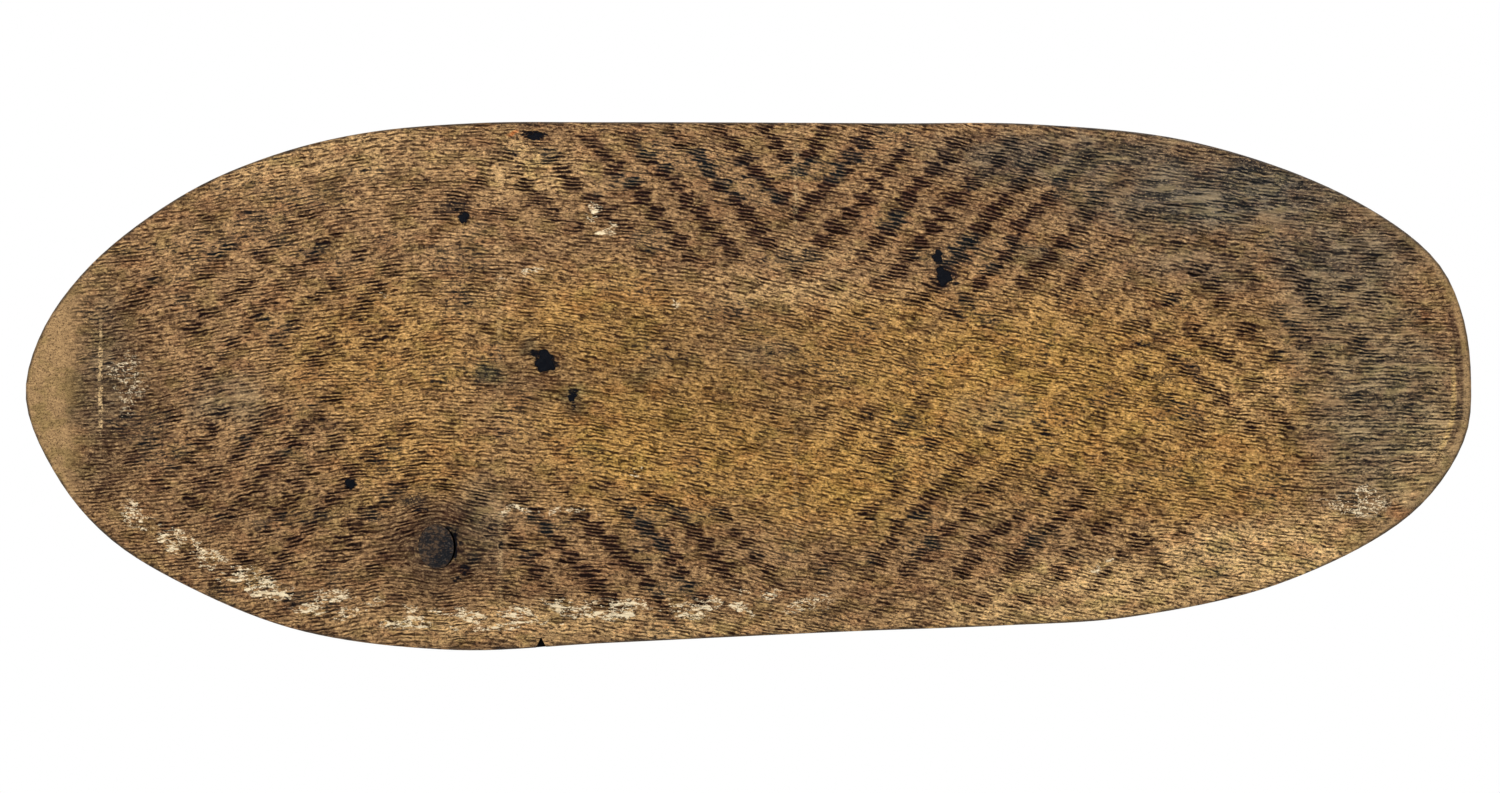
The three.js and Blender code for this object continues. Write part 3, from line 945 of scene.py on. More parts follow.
@dataclass(frozen=True)
class CarvedBoard:
    """The board itself: fluted in front, hollowed behind, with the boss, well, housings and knot holes."""

    form: BoardForm
    flutes: Flutes
    back: HollowBack
    boss_and_well: BossAndWell
    front_stock: float = 1.0 * MM
    back_stock: float = 0.8 * MM
    middle_share: float = 0.03
    face_steps: int = 12
    nose_steps: int = 10
    notch_share: float = -0.287
    notch_width: float = 6.5 * MM
    notch_height: float = 5.5 * MM
    notch_depth: float = 5 * MM
    nose_cover: float = 3.5 * MM
    nick_margin: float = 1 * MM
    crack_margin: float = 2 * MM
    wall_turn: float = 0.4
    floor_turn: float = -0.9
    face_turn: float = -0.1
    rim_spots: int = 3000
    smooth_angle: float = math.radians(38)

    def surface_ring(self, inner: Array, share: float, behind: bool) -> Array:
        """One ring of the face or the back, a little proud of the finished surface.

        Args:
            inner: The outline where the rim's nose begins, as X and Z.
            share: How far out from the middle the ring lies.
            behind: Whether it belongs to the back.

        Returns:
            Its points.
        """
        x, z = (inner * share).T
        y = self.form.back_y(x, z) + self.back_stock if behind else self.form.face_y(x, z) - self.front_stock
        return points(x, y, z)

    def nose_ring(self, inner: Array, turn: float) -> Array:
        """One ring of the rounded rim.

        Args:
            inner: The outline where the rim's nose begins, as X and Z.
            turn: The angle round the nose, from 0 at the face to pi at the back.

        Returns:
            Its points.
        """
        form = self.form
        x, z = form.inset_outline(form.nose_inset * (1 - math.sin(turn))).T
        return points(x, form.face_y(*inner.T) + form.rim_thickness / 2 * (1 - math.cos(turn)), z)

    def make_blank(self) -> Piece:
        """Makes the board with stock left on both sides for the flutes and the hollowing.

        Returns:
            The blank.
        """
        inner = self.form.inset_outline(self.form.nose_inset)
        shares = np.linspace(self.middle_share, 1, self.face_steps)
        rings = [self.surface_ring(inner, share, False) for share in shares]
        rings += [self.nose_ring(inner, turn) for turn in np.linspace(0, math.pi, self.nose_steps + 1)[1:-1]]
        rings += [self.surface_ring(inner, share, True) for share in shares[::-1]]
        return loft("carved_board", rings)

    def make_notch(self) -> Piece:
        """Makes the small triangular nick to be cut out of the lower edge.

        Returns:
            The solid to cut with.
        """
        edge = self.form.outline()
        lower = edge[edge[:, 1] < 0]
        x = self.notch_share * self.form.half_length
        z = lower[np.argmin(np.abs(lower[:, 0] - x)), 1]
        half, height, edge_y = 1.6 * (self.notch_width / 2), self.notch_height, self.form.face_y(x, z)
        corners_x, corners_z = (x - half, x + half, x), (z - height, z - height, z + height)
        reach_y = (edge_y - self.form.board_thickness, edge_y + self.notch_depth)
        return loft("notch", [points(corners_x, y, corners_z) for y in reach_y])

    def make(self, stops: Sequence[ResinStop], knot: EncasedKnot) -> Piece:
        """Makes the whole board.

        Args:
            stops: The stoppings whose pockets are cut into it.
            knot: The large knot whose hole is cut through it.

        Returns:
            The board.
        """
        parts = self.boss_and_well
        board = self.make_blank()
        carve(board, Join.KEEP_COMMON, [self.flutes.make_block(), self.back.make_block()])
        carve(board, Join.ADD, [parts.make_boss()])
        cuts = [parts.make_well(), self.make_notch(), knot.make_hole(self.form.board_thickness)]
        cuts.append(knot.make_hole(knot.crescent_depth, knot.crescent))
        cuts += [stop.make_pocket() for stop in stops]
        for side in Side:
            cuts += [parts.make_housing(side), parts.make_peg_blank(side, parts.sizes.seat_gap)]
        carve(board, Join.CUT, cuts)
        return board

    def rim_distances(self, x: Array, z: Array) -> Array:
        """How far places lie from the outline, measured to its nearest point.

        Args:
            x: Where they lie along the board.
            z: Where they lie across it.

        Returns:
            The distances.
        """
        outline = self.form.outline()
        closed = np.vstack([outline, outline[:1]])
        spots = np.linspace(0, len(outline), self.rim_spots, endpoint=False)
        edge_x, edge_z = (np.interp(spots, range(len(closed)), closed[:, axis]) for axis in (0, 1))
        tree = KDTree(self.rim_spots)
        for index, place in enumerate(points(edge_x, 0, edge_z).tolist()):
            tree.insert(place, index)
        tree.balance()
        places = points(x, 0, z).tolist()
        return np.array([tree.find(place)[2] for place in places], dtype=np.float32)

    def in_nick(self, middles: Array, normals: Array, depth: Array, knot: EncasedKnot) -> Array:
        """Which faces lie inside the notch or inside the crack round the large knot.

        Args:
            middles: The faces' middles.
            normals: Their normals.
            depth: How far behind the carved face their middles lie.
            knot: The large knot.

        Returns:
            Whether each does.
        """
        x, _, z = middles.T
        walls = np.abs(normals[:, 0]) > self.wall_turn
        walls |= (normals[:, 1] < self.floor_turn) & (depth > self.nose_cover)
        by_notch = walls & (np.abs(x - self.notch_share * self.form.half_length) < self.notch_width)
        by_notch &= depth < self.notch_depth + self.nick_margin
        by_notch &= z + self.form.half_width < 2 * self.notch_height
        middle_x, middle_z = knot.knot.middle(self.form)
        reach_x, reach_z = knot.knot.half_x + self.crack_margin, knot.knot.half_z + self.nick_margin
        by_knot = ((x - middle_x) / reach_x) ** 2 + ((z - middle_z) / reach_z) ** 2 < 1
        return by_notch | (by_knot & (depth < knot.crescent_depth + self.nick_margin))

    def dress(self, board: Piece, knot: EncasedKnot, finishes: Sequence[Material]) -> None:
        """Gives the face and the rest of the board their finishes, the flute map and the rim's distance.

        Args:
            board: The finished board.
            knot: The large knot, beside which the board is cracked.
            finishes: The materials of the face, of everything else and of the notch's and crack's inside,
                which is painted near-black as painted shade.
        """
        data = board.data
        data.materials.clear()
        for finish in finishes:
            data.materials.append(finish)
        middles, normals = read_rows(data.polygons, "center"), read_rows(data.polygons, "normal")
        depth = middles[:, 1] - self.form.face_y(middles[:, 0], middles[:, 2])
        on_face = (depth < self.nose_cover) & (normals[:, 1] < self.face_turn)
        # Slot 2, the inside of the notch and of the crack, is painted near-black: painted shade.
        slots = np.where(on_face, 0, np.where(self.in_nick(middles, normals, depth, knot), 2, 1))
        data.polygons.foreach_set("material_index", slots.astype(np.int32))
        data.set_sharp_from_angle(angle=self.smooth_angle)
        data.polygons.foreach_set("use_smooth", ~on_face)
        x, _, z = read_rows(data.vertices, "co").T
        rim_distance = data.attributes.new("rim_distance", "FLOAT", "POINT")
        rim_distance.data.foreach_set("value", self.rim_distances(x, z) / MM)
        flute_map = np.column_stack([self.flutes.zigzag_run(x), self.flutes.number(x, z)])
        corners = np.empty(len(data.loops), dtype=np.int32)
        data.loops.foreach_get("vertex_index", corners)
        while data.uv_layers:
            data.uv_layers.remove(data.uv_layers[0])
        data.uv_layers.new(name="flutes").data.foreach_set("uv", flute_map[corners].ravel())
        data.update()


# Shader building


class Bench:
    """Adds nodes to one shader tree in short, plain calls."""

    def __init__(self, tree: bpy.types.NodeTree) -> None:
        """Keeps the tree that the nodes go into."""
        self.tree = tree

    def feed(self, socket: Socket, value: object) -> None:
        """Links a value's socket to an input, or sets the input to a plain value."""
        if isinstance(value, Socket):
            self.tree.links.new(value, socket)
        else:
            socket.default_value = value

    def feed_named(self, node: bpy.types.Node, values: dict[str, object]) -> None:
        """Feeds inputs of a node by their names."""
        for name, value in values.items():
            self.feed(node.inputs[name], value)

    def add(self, kind: str, *values: object, **settings: object) -> bpy.types.Node:
        """Adds a node.

        Args:
            kind: Its kind, such as Math.
            values: What its first inputs take, in order.
            settings: Its settings.

        Returns:
            The node.
        """
        node = self.tree.nodes.new("ShaderNode" + kind)
        for name, value in settings.items():
            setattr(node, name, value)
        for socket, value in zip(node.inputs, values):
            self.feed(socket, value)
        return node

    def calc(self, operation: str, *values: object) -> Socket:
        """Works out a number from numbers."""
        return self.add("Math", *values, operation=operation).outputs[0]

    def times(self, first: object, *others: object) -> Socket:
        """Multiplies numbers with one another."""
        for other in others:
            first = self.calc("MULTIPLY", first, other)
        return first

    def adjust(self, value: object, factor: object, base: object) -> Socket:
        """Multiplies a number by a factor and adds it to a base."""
        return self.calc("MULTIPLY_ADD", value, factor, base)

    def rest(self, share: object) -> Socket:
        """What a share leaves of 1."""
        return self.calc("SUBTRACT", 1.0, share)

    def point(self, operation: str, *values: object) -> Socket:
        """Works out a vector, or a vector's length, from vectors."""
        node = self.add("VectorMath", *values, operation=operation)
        return node.outputs["Value" if operation == "LENGTH" else "Vector"]

    def scale(self, where: Socket, factor: float) -> Socket:
        """Multiplies a vector by a plain number."""
        node = self.add("VectorMath", where, operation="SCALE")
        node.inputs["Scale"].default_value = factor
        return node.outputs["Vector"]

    def axes(self, where: Socket) -> list[Socket]:
        """Splits a vector into its X, Y and Z."""
        return list(self.add("SeparateXYZ", where).outputs)

    def gather(self, x: object, y: object) -> Socket:
        """Makes a vector of two numbers, with a Z of 0."""
        return self.add("CombineXYZ", x, y, 0.0).outputs[0]

    def noise(
        self, where: Socket, stretch: Sequence[float], detail: float = 2.0, rough: float = 0.5
    ) -> Socket:
        """Soft noise from 0 to 1.

        Args:
            where: The place, in millimetres.
            stretch: How long its grains are along each axis.
            detail: How many finer layers it has.
            rough: How strongly the finer layers show.

        Returns:
            The noise.
        """
        node = self.add("TexNoise", self.point("DIVIDE", where, stretch))
        self.feed_named(node, {"Scale": 1.0, "Detail": detail, "Roughness": rough})
        return node.outputs["Fac"]

    def chance(self, number: Socket) -> Socket:
        """A different chance number from 0 to 1 for each whole number."""
        node = self.add("TexWhiteNoise", noise_dimensions="1D")
        self.feed(node.inputs["W"], number)
        return node.outputs["Value"]

    def ramp(self, *numbers: object) -> Socket:
        """Takes a value, its low, its high and what those become, and goes smoothly between the last two."""
        return self.add("MapRange", *numbers, interpolation_type="SMOOTHSTEP").outputs[0]

    def rise(self, value: object, low: float, high: float, top: float = 1.0) -> Socket:
        """Rises smoothly from 0 to the top as the value goes from low to high."""
        return self.ramp(value, low, high, 0.0, top)

    def fall(self, value: object, low: float, high: float, top: float = 1.0) -> Socket:
        """Falls smoothly from the top to 0 as the value goes from low to high."""
        return self.ramp(value, low, high, top, 0.0)

    def mix(self, share: object, low: object, high: object, blend: str = "MIX") -> Socket:
        """Mixes two colours by a share.

        Args:
            share: How much of the second colour shows.
            low: The first colour.
            high: The second colour.
            blend: How they are mixed.

        Returns:
            The colour.
        """
        node = self.add("Mix", share, data_type="RGBA", blend_type=blend)
        self.feed(node.inputs[6], low)
        self.feed(node.inputs[7], high)
        return node.outputs[2]

    def cover(self, colour: object, *layers: tuple[object, ...]) -> Socket:
        """Covers a colour with layers, each of them masks that are multiplied and then a colour."""
        for *masks, over in layers:
            colour = self.mix(self.times(*masks), colour, over)
        return colour

    def place_in_mm(self) -> Socket:
        """The surface's own place, in millimetres."""
        return self.scale(self.add("TexCoord").outputs["Object"], 1 / MM)


class Surface:
    """A new material, with a bench for its nodes and its shader."""

    def __init__(self, name: str) -> None:
        """Starts the material."""
        self.material = bpy.data.materials.new(name)
        self.material.use_nodes = True
        self.bench = Bench(self.material.node_tree)
        self.shader = self.material.node_tree.nodes["Principled BSDF"]

    def finish(
        self, colour: object, rough: object, height: object, bump: float, shine: float = 0.5
    ) -> Material:
        """Sets the surface's looks.

        Args:
            colour: Its colour.
            rough: Its roughness.
            height: The height that it is raised by, in millimetres.
            bump: How strongly that height shows.
            shine: How strongly it mirrors.

        Returns:
            The material.
        """
        raised = self.bench.add("Bump")
        self.bench.feed_named(raised, {"Strength": bump, "Distance": MM, "Height": height})
        looks = {"Base Color": colour, "Roughness": rough, "Specular IOR Level": shine}
        self.bench.feed_named(self.shader, looks | {"Normal": raised.outputs["Normal"]})
        return self.material


class Effect:
    """A shader node group that several materials use, each with its own values."""

    name = "effect"
    takes: tuple[str, ...] = ()
    gives: tuple[str, ...] = ()

    def __init__(self) -> None:
        """Builds the group once."""
        self.tree = bpy.data.node_groups.new(self.name, "ShaderNodeTree")
        for label in self.takes:
            self.tree.interface.new_socket(name=label, in_out="INPUT", socket_type="NodeSocketVector")
        for label in self.gives:
            self.tree.interface.new_socket(name=label, in_out="OUTPUT", socket_type="NodeSocketFloat")
        inside = Bench(self.tree)
        entry = self.tree.nodes.new("NodeGroupInput")
        leave = self.tree.nodes.new("NodeGroupOutput")
        results = self.draw(inside, *(entry.outputs[label] for label in self.takes))
        inside.feed_named(leave, dict(zip(self.gives, results)))

    def draw(self, bench: Bench, *given: Socket) -> list[Socket]:
        """Builds the group's inside.

        Args:
            bench: The group's own bench.
            given: The group's inputs, in order.

        Returns:
            The results, in the order of the group's outputs.
        """
        raise NotImplementedError

    def place(self, bench: Bench, *values: object) -> list[Socket]:
        """Puts the group into a material, fed in order, and gives its outputs."""
        return list(bench.add("Group", *values, node_tree=self.tree).outputs)


class SoftPatch(Effect):
    """A soft-edged oval patch at a place in millimetres, equally strong at every depth."""

    name = "soft_patch"
    takes = ("Place", "Middle", "Reach")
    gives = ("Mask",)
    any_depth = 1e6

    def draw(self, bench: Bench, place: Socket, middle: Socket, reach: Socket) -> list[Socket]:
        """Builds the patch from its distance, counted in reaches."""
        away = bench.point("LENGTH", bench.point("DIVIDE", bench.point("SUBTRACT", place, middle), reach))
        return [bench.fall(away, 0.3, 1.25)]

    def mask(
        self, bench: Bench, where: Socket, x: float, z: float, reach_x: float, reach_z: float
    ) -> Socket:
        """The mask of a patch of some reach round a middle, in millimetres."""
        return self.place(bench, where, (x, 0, z), (reach_x, self.any_depth, reach_z))[0]


class WoodGrain(Effect):
    """Grain that runs along X: broad streaks, fine fibres and dark pores."""

    name = "wood_grain"
    takes = ("Place",)
    gives = ("Streak", "Fibre", "Pore")

    def draw(self, bench: Bench, place: Socket) -> list[Socket]:
        """Builds the three from noise stretched along X."""
        pore = bench.rise(bench.noise(place, (4, 0.4, 0.4), 1), 0.6, 0.72)
        return [bench.noise(place, (110, 5, 5), 4, 0.6), bench.noise(place, (9, 0.5, 0.5), 3, 0.6), pore]


class FluteCuts(Effect):
    """The marks that follow the flutes: fibres, broken lines, zigzag patches, their strokes and crests."""

    name = "flute_cuts"
    takes = ("Flutes", "Place")
    gives = ("Line", "Zigzag", "Stroke", "Crest", "Fibre", "Luck")

    def __init__(self, flutes: Flutes) -> None:
        """Keeps the flutes' sizes and builds the group."""
        self.flutes = flutes
        super().__init__()

    def draw(self, bench: Bench, flute_map: Socket, place: Socket) -> list[Socket]:
        """Builds the marks.

        Args:
            bench: The group's own bench.
            flute_map: The distance along the zigzag and the flute's number.
            place: The place in millimetres.

        Returns:
            The marks.
        """
        run, number, _ = bench.axes(flute_map)
        x, _, z = bench.axes(place)
        close = bench.adjust(bench.noise(place, (6, 2.6, 2.6)), 1.3, -0.65)
        broad = bench.adjust(bench.noise(place, (18, 8, 8), 1), 1.2, -0.6)
        number = bench.calc("ADD", number, bench.calc("ADD", close, broad))
        row = bench.calc("ROUND", number)
        away = bench.times(bench.calc("ABSOLUTE", bench.calc("SUBTRACT", number, row)), 2.0)

        fibre_spot = bench.gather(bench.calc("DIVIDE", x, 3.4), bench.times(number, 1.6))
        fibre = bench.noise(fibre_spot, (1, 1, 1), 4, 0.72)
        line_spot = bench.gather(bench.calc("DIVIDE", x, 7.5), bench.times(row, 3.7))
        broken = bench.rise(bench.noise(line_spot, (1, 1, 1), 3, 0.65), 0.43, 0.57)
        # The line darkens the flute valleys, which the face paints as dirt and painted shade.
        line = bench.times(bench.fall(away, 0.25, 0.62), broken)

        band_heights = bench.calc("DIVIDE", z, self.flutes.band_height / MM)
        band = bench.calc("FLOOR", bench.adjust(bench.noise(place, (24, 24, 24), 1), 0.9, band_heights))
        stagger = bench.adjust(bench.chance(row), 0.2, -0.1)
        shift = bench.adjust(bench.noise(place, (40, 40, 26), 1), 0.7, stagger)
        step_share = self.flutes.zigzag_step / self.flutes.zigzag_period
        turns = bench.calc("SUBTRACT", bench.calc("ADD", run, shift), bench.times(band, step_share))
        phase = bench.calc("FRACT", turns)
        cell = bench.adjust(band, 17.3, bench.calc("FLOOR", turns))
        # The zigzag patches mark the deeper cuts; the face paints them dark as dirt and painted shade.
        zigzag = bench.times(bench.rise(phase, 0.0, 0.08), bench.fall(phase, 0.32, 0.46))
        # The strokes are darkest in the valleys; the face paints them near-black as dirt and painted shade.
        stroke = bench.times(zigzag, bench.fall(away, 0.36, 0.8), bench.adjust(broken, 0.4, 0.6))
        # The crest mask is where the face paints its highlights.
        return [line, zigzag, stroke, bench.rise(away, 0.45, 0.95), fibre, bench.chance(cell)]


@dataclass(frozen=True)
class Effects:
    """The shared shader groups."""

    patch: SoftPatch
    grain: WoodGrain
    cuts: FluteCuts


@dataclass(frozen=True)
class Patch:
    """A tonal patch of the face, placed in shares of the board and sized in millimetres."""

    along_share: float
    across_share: float
    reach_x: float
    reach_z: float
    strength: float = 1.0


def patches(*rows: tuple[float, ...]) -> tuple[Patch, ...]:
    """Makes patches of rows of numbers, in the order of a patch's fields."""
    return tuple(Patch(*row) for row in rows)


GOLDEN_PATCHES = patches(
    (0.38, -0.05, 160, 62), (-0.1, -0.17, 95, 52), (0.13, -0.32, 70, 40), (-0.2, 0.21, 70, 36, 0.8),
    (0.18, 0.1, 110, 40, 0.8), (-0.5, 0.12, 70, 44, 0.6), (-0.46, -0.25, 50, 30, 0.6),
    (0.6, -0.3, 80, 40, 0.8),
)
GREY_PATCHES = patches(
    (-0.9, 0.05, 14, 60, 0.3), (0.88, -0.1, 50, 66, 0.9), (0.82, 0.3, 40, 50, 0.7),
    (-0.36, -0.5, 16, 26, 0.5), (0.33, -0.1, 26, 12, 0.4), (0.02, 0.12, 20, 12, 0.4),
    (-0.72, -0.06, 24, 16, 0.6),
)
SHADOW_PATCHES = patches(
    (0.45, 0.86, 90, 18, 0.8), (0.66, 0.72, 100, 28), (0.82, 0.5, 56, 26, 0.7),
    (0.62, 0.45, 44, 16, 0.5),
)
DARK_PATCHES = patches(
    (-0.875, -0.03, 26, 66, 0.95), (-0.84, -0.12, 24, 30, 0.7), (-0.427, -0.6, 36, 32),
    (-0.285, 0.07, 30, 24, 0.6), (-0.72, -0.42, 56, 32, 0.2), (0.3, 0.68, 40, 30, 0.3),
    (-0.12, -0.6, 40, 24, 0.1), (-0.03, 0.6, 100, 30, 0.25), (-0.04, 0.06, 90, 46, 0.42),
)
PALE_PATCHES = patches(
    (0.72, -0.64, 80, 24), (0.5, -0.76, 80, 18, 0.9), (0.42, -0.86, 90, 12, 0.8),
    (-0.62, 0.88, 90, 18, 0.4), (-0.2, -0.9, 160, 12, 0.6), (0.94, -0.35, 20, 42, 1.0),
    (0.69, -0.04, 34, 18, 0.3), (-0.3, 0.8, 40, 14, 0.5), (0.07, 0.35, 50, 14, 0.5),
    (0.1, 0.5, 26, 10, 0.4),
)
MOSS_PATCHES = patches(
    (-0.354, 0.011, 10, 7), (-0.242, -0.055, 9, 8, 0.9), (-0.3, 0.13, 7, 5, 0.7),
    (0.395, 0.48, 16, 11, 0.7), (0.24, 0.2, 12, 8, 0.5), (-0.14, 0.05, 9, 7, 0.5),
)
ZIGZAG_PATCHES = patches(
    (0.06, 0.74, 190, 44), (0.3, 0.6, 90, 50, 0.95), (-0.62, -0.42, 105, 62, 0.6),
    (-0.17, -0.62, 92, 36, 1.0), (-0.62, 0.35, 95, 56, 0.42), (0.32, -0.56, 110, 42, 0.66),
    (0.72, 0.25, 100, 60, 0.45), (0.7, -0.08, 44, 26, 0.55), (-0.8, -0.1, 40, 40, 0.3),
    (0.3, -0.16, 80, 34, 0.34),
)
WORN_PATCHES = patches(
    (-0.856, 0.02, 18, 22, 0.3), (-0.22, 0.66, 6, 4, 1.0), (-0.2, 0.59, 6, 4, 0.9),
    (-0.31, 0.43, 12, 2.5, 0.7), (0.84, -0.45, 26, 10, 0.5), (-0.11, 0.33, 4, 3, 0.7),
    (-0.5, 0.33, 4, 2, 0.7), (0.49, -0.67, 5, 2, 0.9), (-0.272, -0.46, 30, 3, 0.6),
    (-0.15, -0.3, 3, 2, 0.6),
)
STAIN_PATCHES = patches(
    (0.57, 0.03, 8, 4, 0.7), (0.62, -0.27, 5, 3, 0.8), (0.27, 0.44, 10, 13, 0.6),
    (-0.405, 0.67, 10, 5, 0.7), (-0.462, -0.43, 9, 4, 0.9), (-0.25, 0.2, 4, 7, 0.3),
    (-0.43, -0.6, 13, 16, 0.5), (0.69, 0.84, 15, 5, 0.8), (0.58, 0.86, 12, 3, 0.5),
)
BLOT_PATCHES = patches(
    (-0.392, 0.634, 4.5, 3.6), (-0.4, 0.66, 5, 1.6, 0.8), (-0.277, 0.085, 8.5, 6),
    (-0.292, 0.12, 5, 3, 0.9), (-0.2407, -0.0226, 4, 2.4), (-0.2407, -0.075, 2, 3.6, 0.7),
    (-0.547, -0.366, 5, 4), (0.265, 0.4, 4.6, 2.8, 0.85), (0.285, 0.385, 4, 1.4, 0.85),
    (0.2597, 0.488, 3.8, 2.2, 0.8), (-0.295, 0.945, 9, 3.4), (-0.4035, -0.6, 1.6, 10, 1.1),
    (-0.391, -0.685, 4, 5, 0.75), (-0.402, -0.724, 5, 2.4, 0.75), (-0.341, -0.6, 2, 3.4, 0.8),
    (-0.45, -0.465, 8, 2, 0.7), (0.54, 0.155, 9, 2, 0.7),
)
RUST_PATCHES = patches(
    (-0.323, 0.939, 5, 2.6), (0.94, 0.28, 5, 4, 0.3), (0.9, -0.5, 9, 6, 0.35),
)
RIDGE_PATCHES = patches(
    (-0.894, 0.0, 1.3, 34, 2.4), (-0.342, 0.4, 1.8, 70, 0.3), (-0.342, -0.62, 1.8, 34, 0.5),
    (0.065, 0.78, 1.8, 30, 0.6), (0.065, -0.45, 1.6, 60, 0.25), (0.54, 0.3, 1.6, 50, 0.25),
)


@dataclass(frozen=True)
class EndLine:
    """A line at the right end that follows the outline at a distance, in millimetres."""

    distance: float
    half_width: float
    low_z: float
    high_z: float
    strength: float


DARK_END_LINE = EndLine(6.4, 1.9, -33, 42, 0.6)
GOLD_END_LINE = EndLine(9.8, 1.3, -36, 12, 0.5)


@dataclass(frozen=True)
class FlutedFace:
    """The old hand-worn face: golden crests with painted highlights, broken dark lines and near-black
    strokes of dirt and painted shade, and pale wear.
    """

    form: BoardForm
    flutes: Flutes
    effects: Effects
    wear_distance: float = 18 * MM
    wear_ends: tuple[float, float] = (-0.85, 0.14)
    bare_rim_start: float = 300 * MM
    bare_rim_width: float = 4.5 * MM
    drift_grain: float = 17.0
    drift_reach: float = 26.0
    brown: Colour = tone(162, 126, 87)
    gold: Colour = tone(187, 143, 78)
    dark: Colour = tone(88, 67, 50)
    grey: Colour = tone(122, 110, 88)
    shadow: Colour = tone(84, 81, 75)
    pale: Colour = tone(222, 182, 126)
    moss: Colour = tone(72, 74, 58)
    rust: Colour = tone(190, 106, 52)
    # Dark tones of the grain and of the flute valleys, whose darkening is dirt and painted shade.
    brown_grain_valley_dirt_and_shade: Colour = tone(40, 20, 12)
    blue_grain_valley_dirt_and_shade: Colour = tone(16, 18, 22)
    # Purple for the mottle and, with the blue, for the zigzag patches' dirt and painted shade.
    purple_mottle_and_zigzag_dirt_shade: Colour = tone(72, 44, 36)
    blue_zigzag_dirt_and_shade: Colour = tone(54, 54, 50)
    # Near-black of the strokes in the deeper cuts, dirt and painted shade; the blue also colours dark
    # streaks.
    black_stroke_dirt_and_shade: Colour = tone(22, 9, 7)
    blue_streak_and_stroke_dirt_shade: Colour = tone(11, 16, 20)
    # Pale tone of the grain's fibres and of the painted highlights on the crests.
    pale_grain_and_highlight_tone: Colour = tone(240, 206, 146)
    worn_white: Colour = tone(252, 232, 194)
    ridge_tan: Colour = tone(212, 180, 132)
    stain_grey: Colour = tone(20, 24, 30)
    blot_black: Colour = tone(5, 8, 16)
    tip_tan: Colour = tone(172, 138, 96)
    rim_edge_dark: Colour = tone(58, 48, 38)
    end_purple: Colour = tone(66, 48, 42)
    end_gold: Colour = tone(206, 172, 110)
    red_tint: Colour = tone(228, 206, 202)
    olive_tint: Colour = tone(212, 220, 200)
    # Gains that brighten the ground into pale grain and into painted highlights.
    pale_grain_and_highlight_gain: Colour = (1.9, 1.85, 1.75, 1.0)
    glint_gain: Colour = (2.4, 2.35, 2.2, 1.0)

    def build(self) -> Material:
        """Builds the material, whose flutes follow the map named flutes."""
        return FacePainter(self).paint()


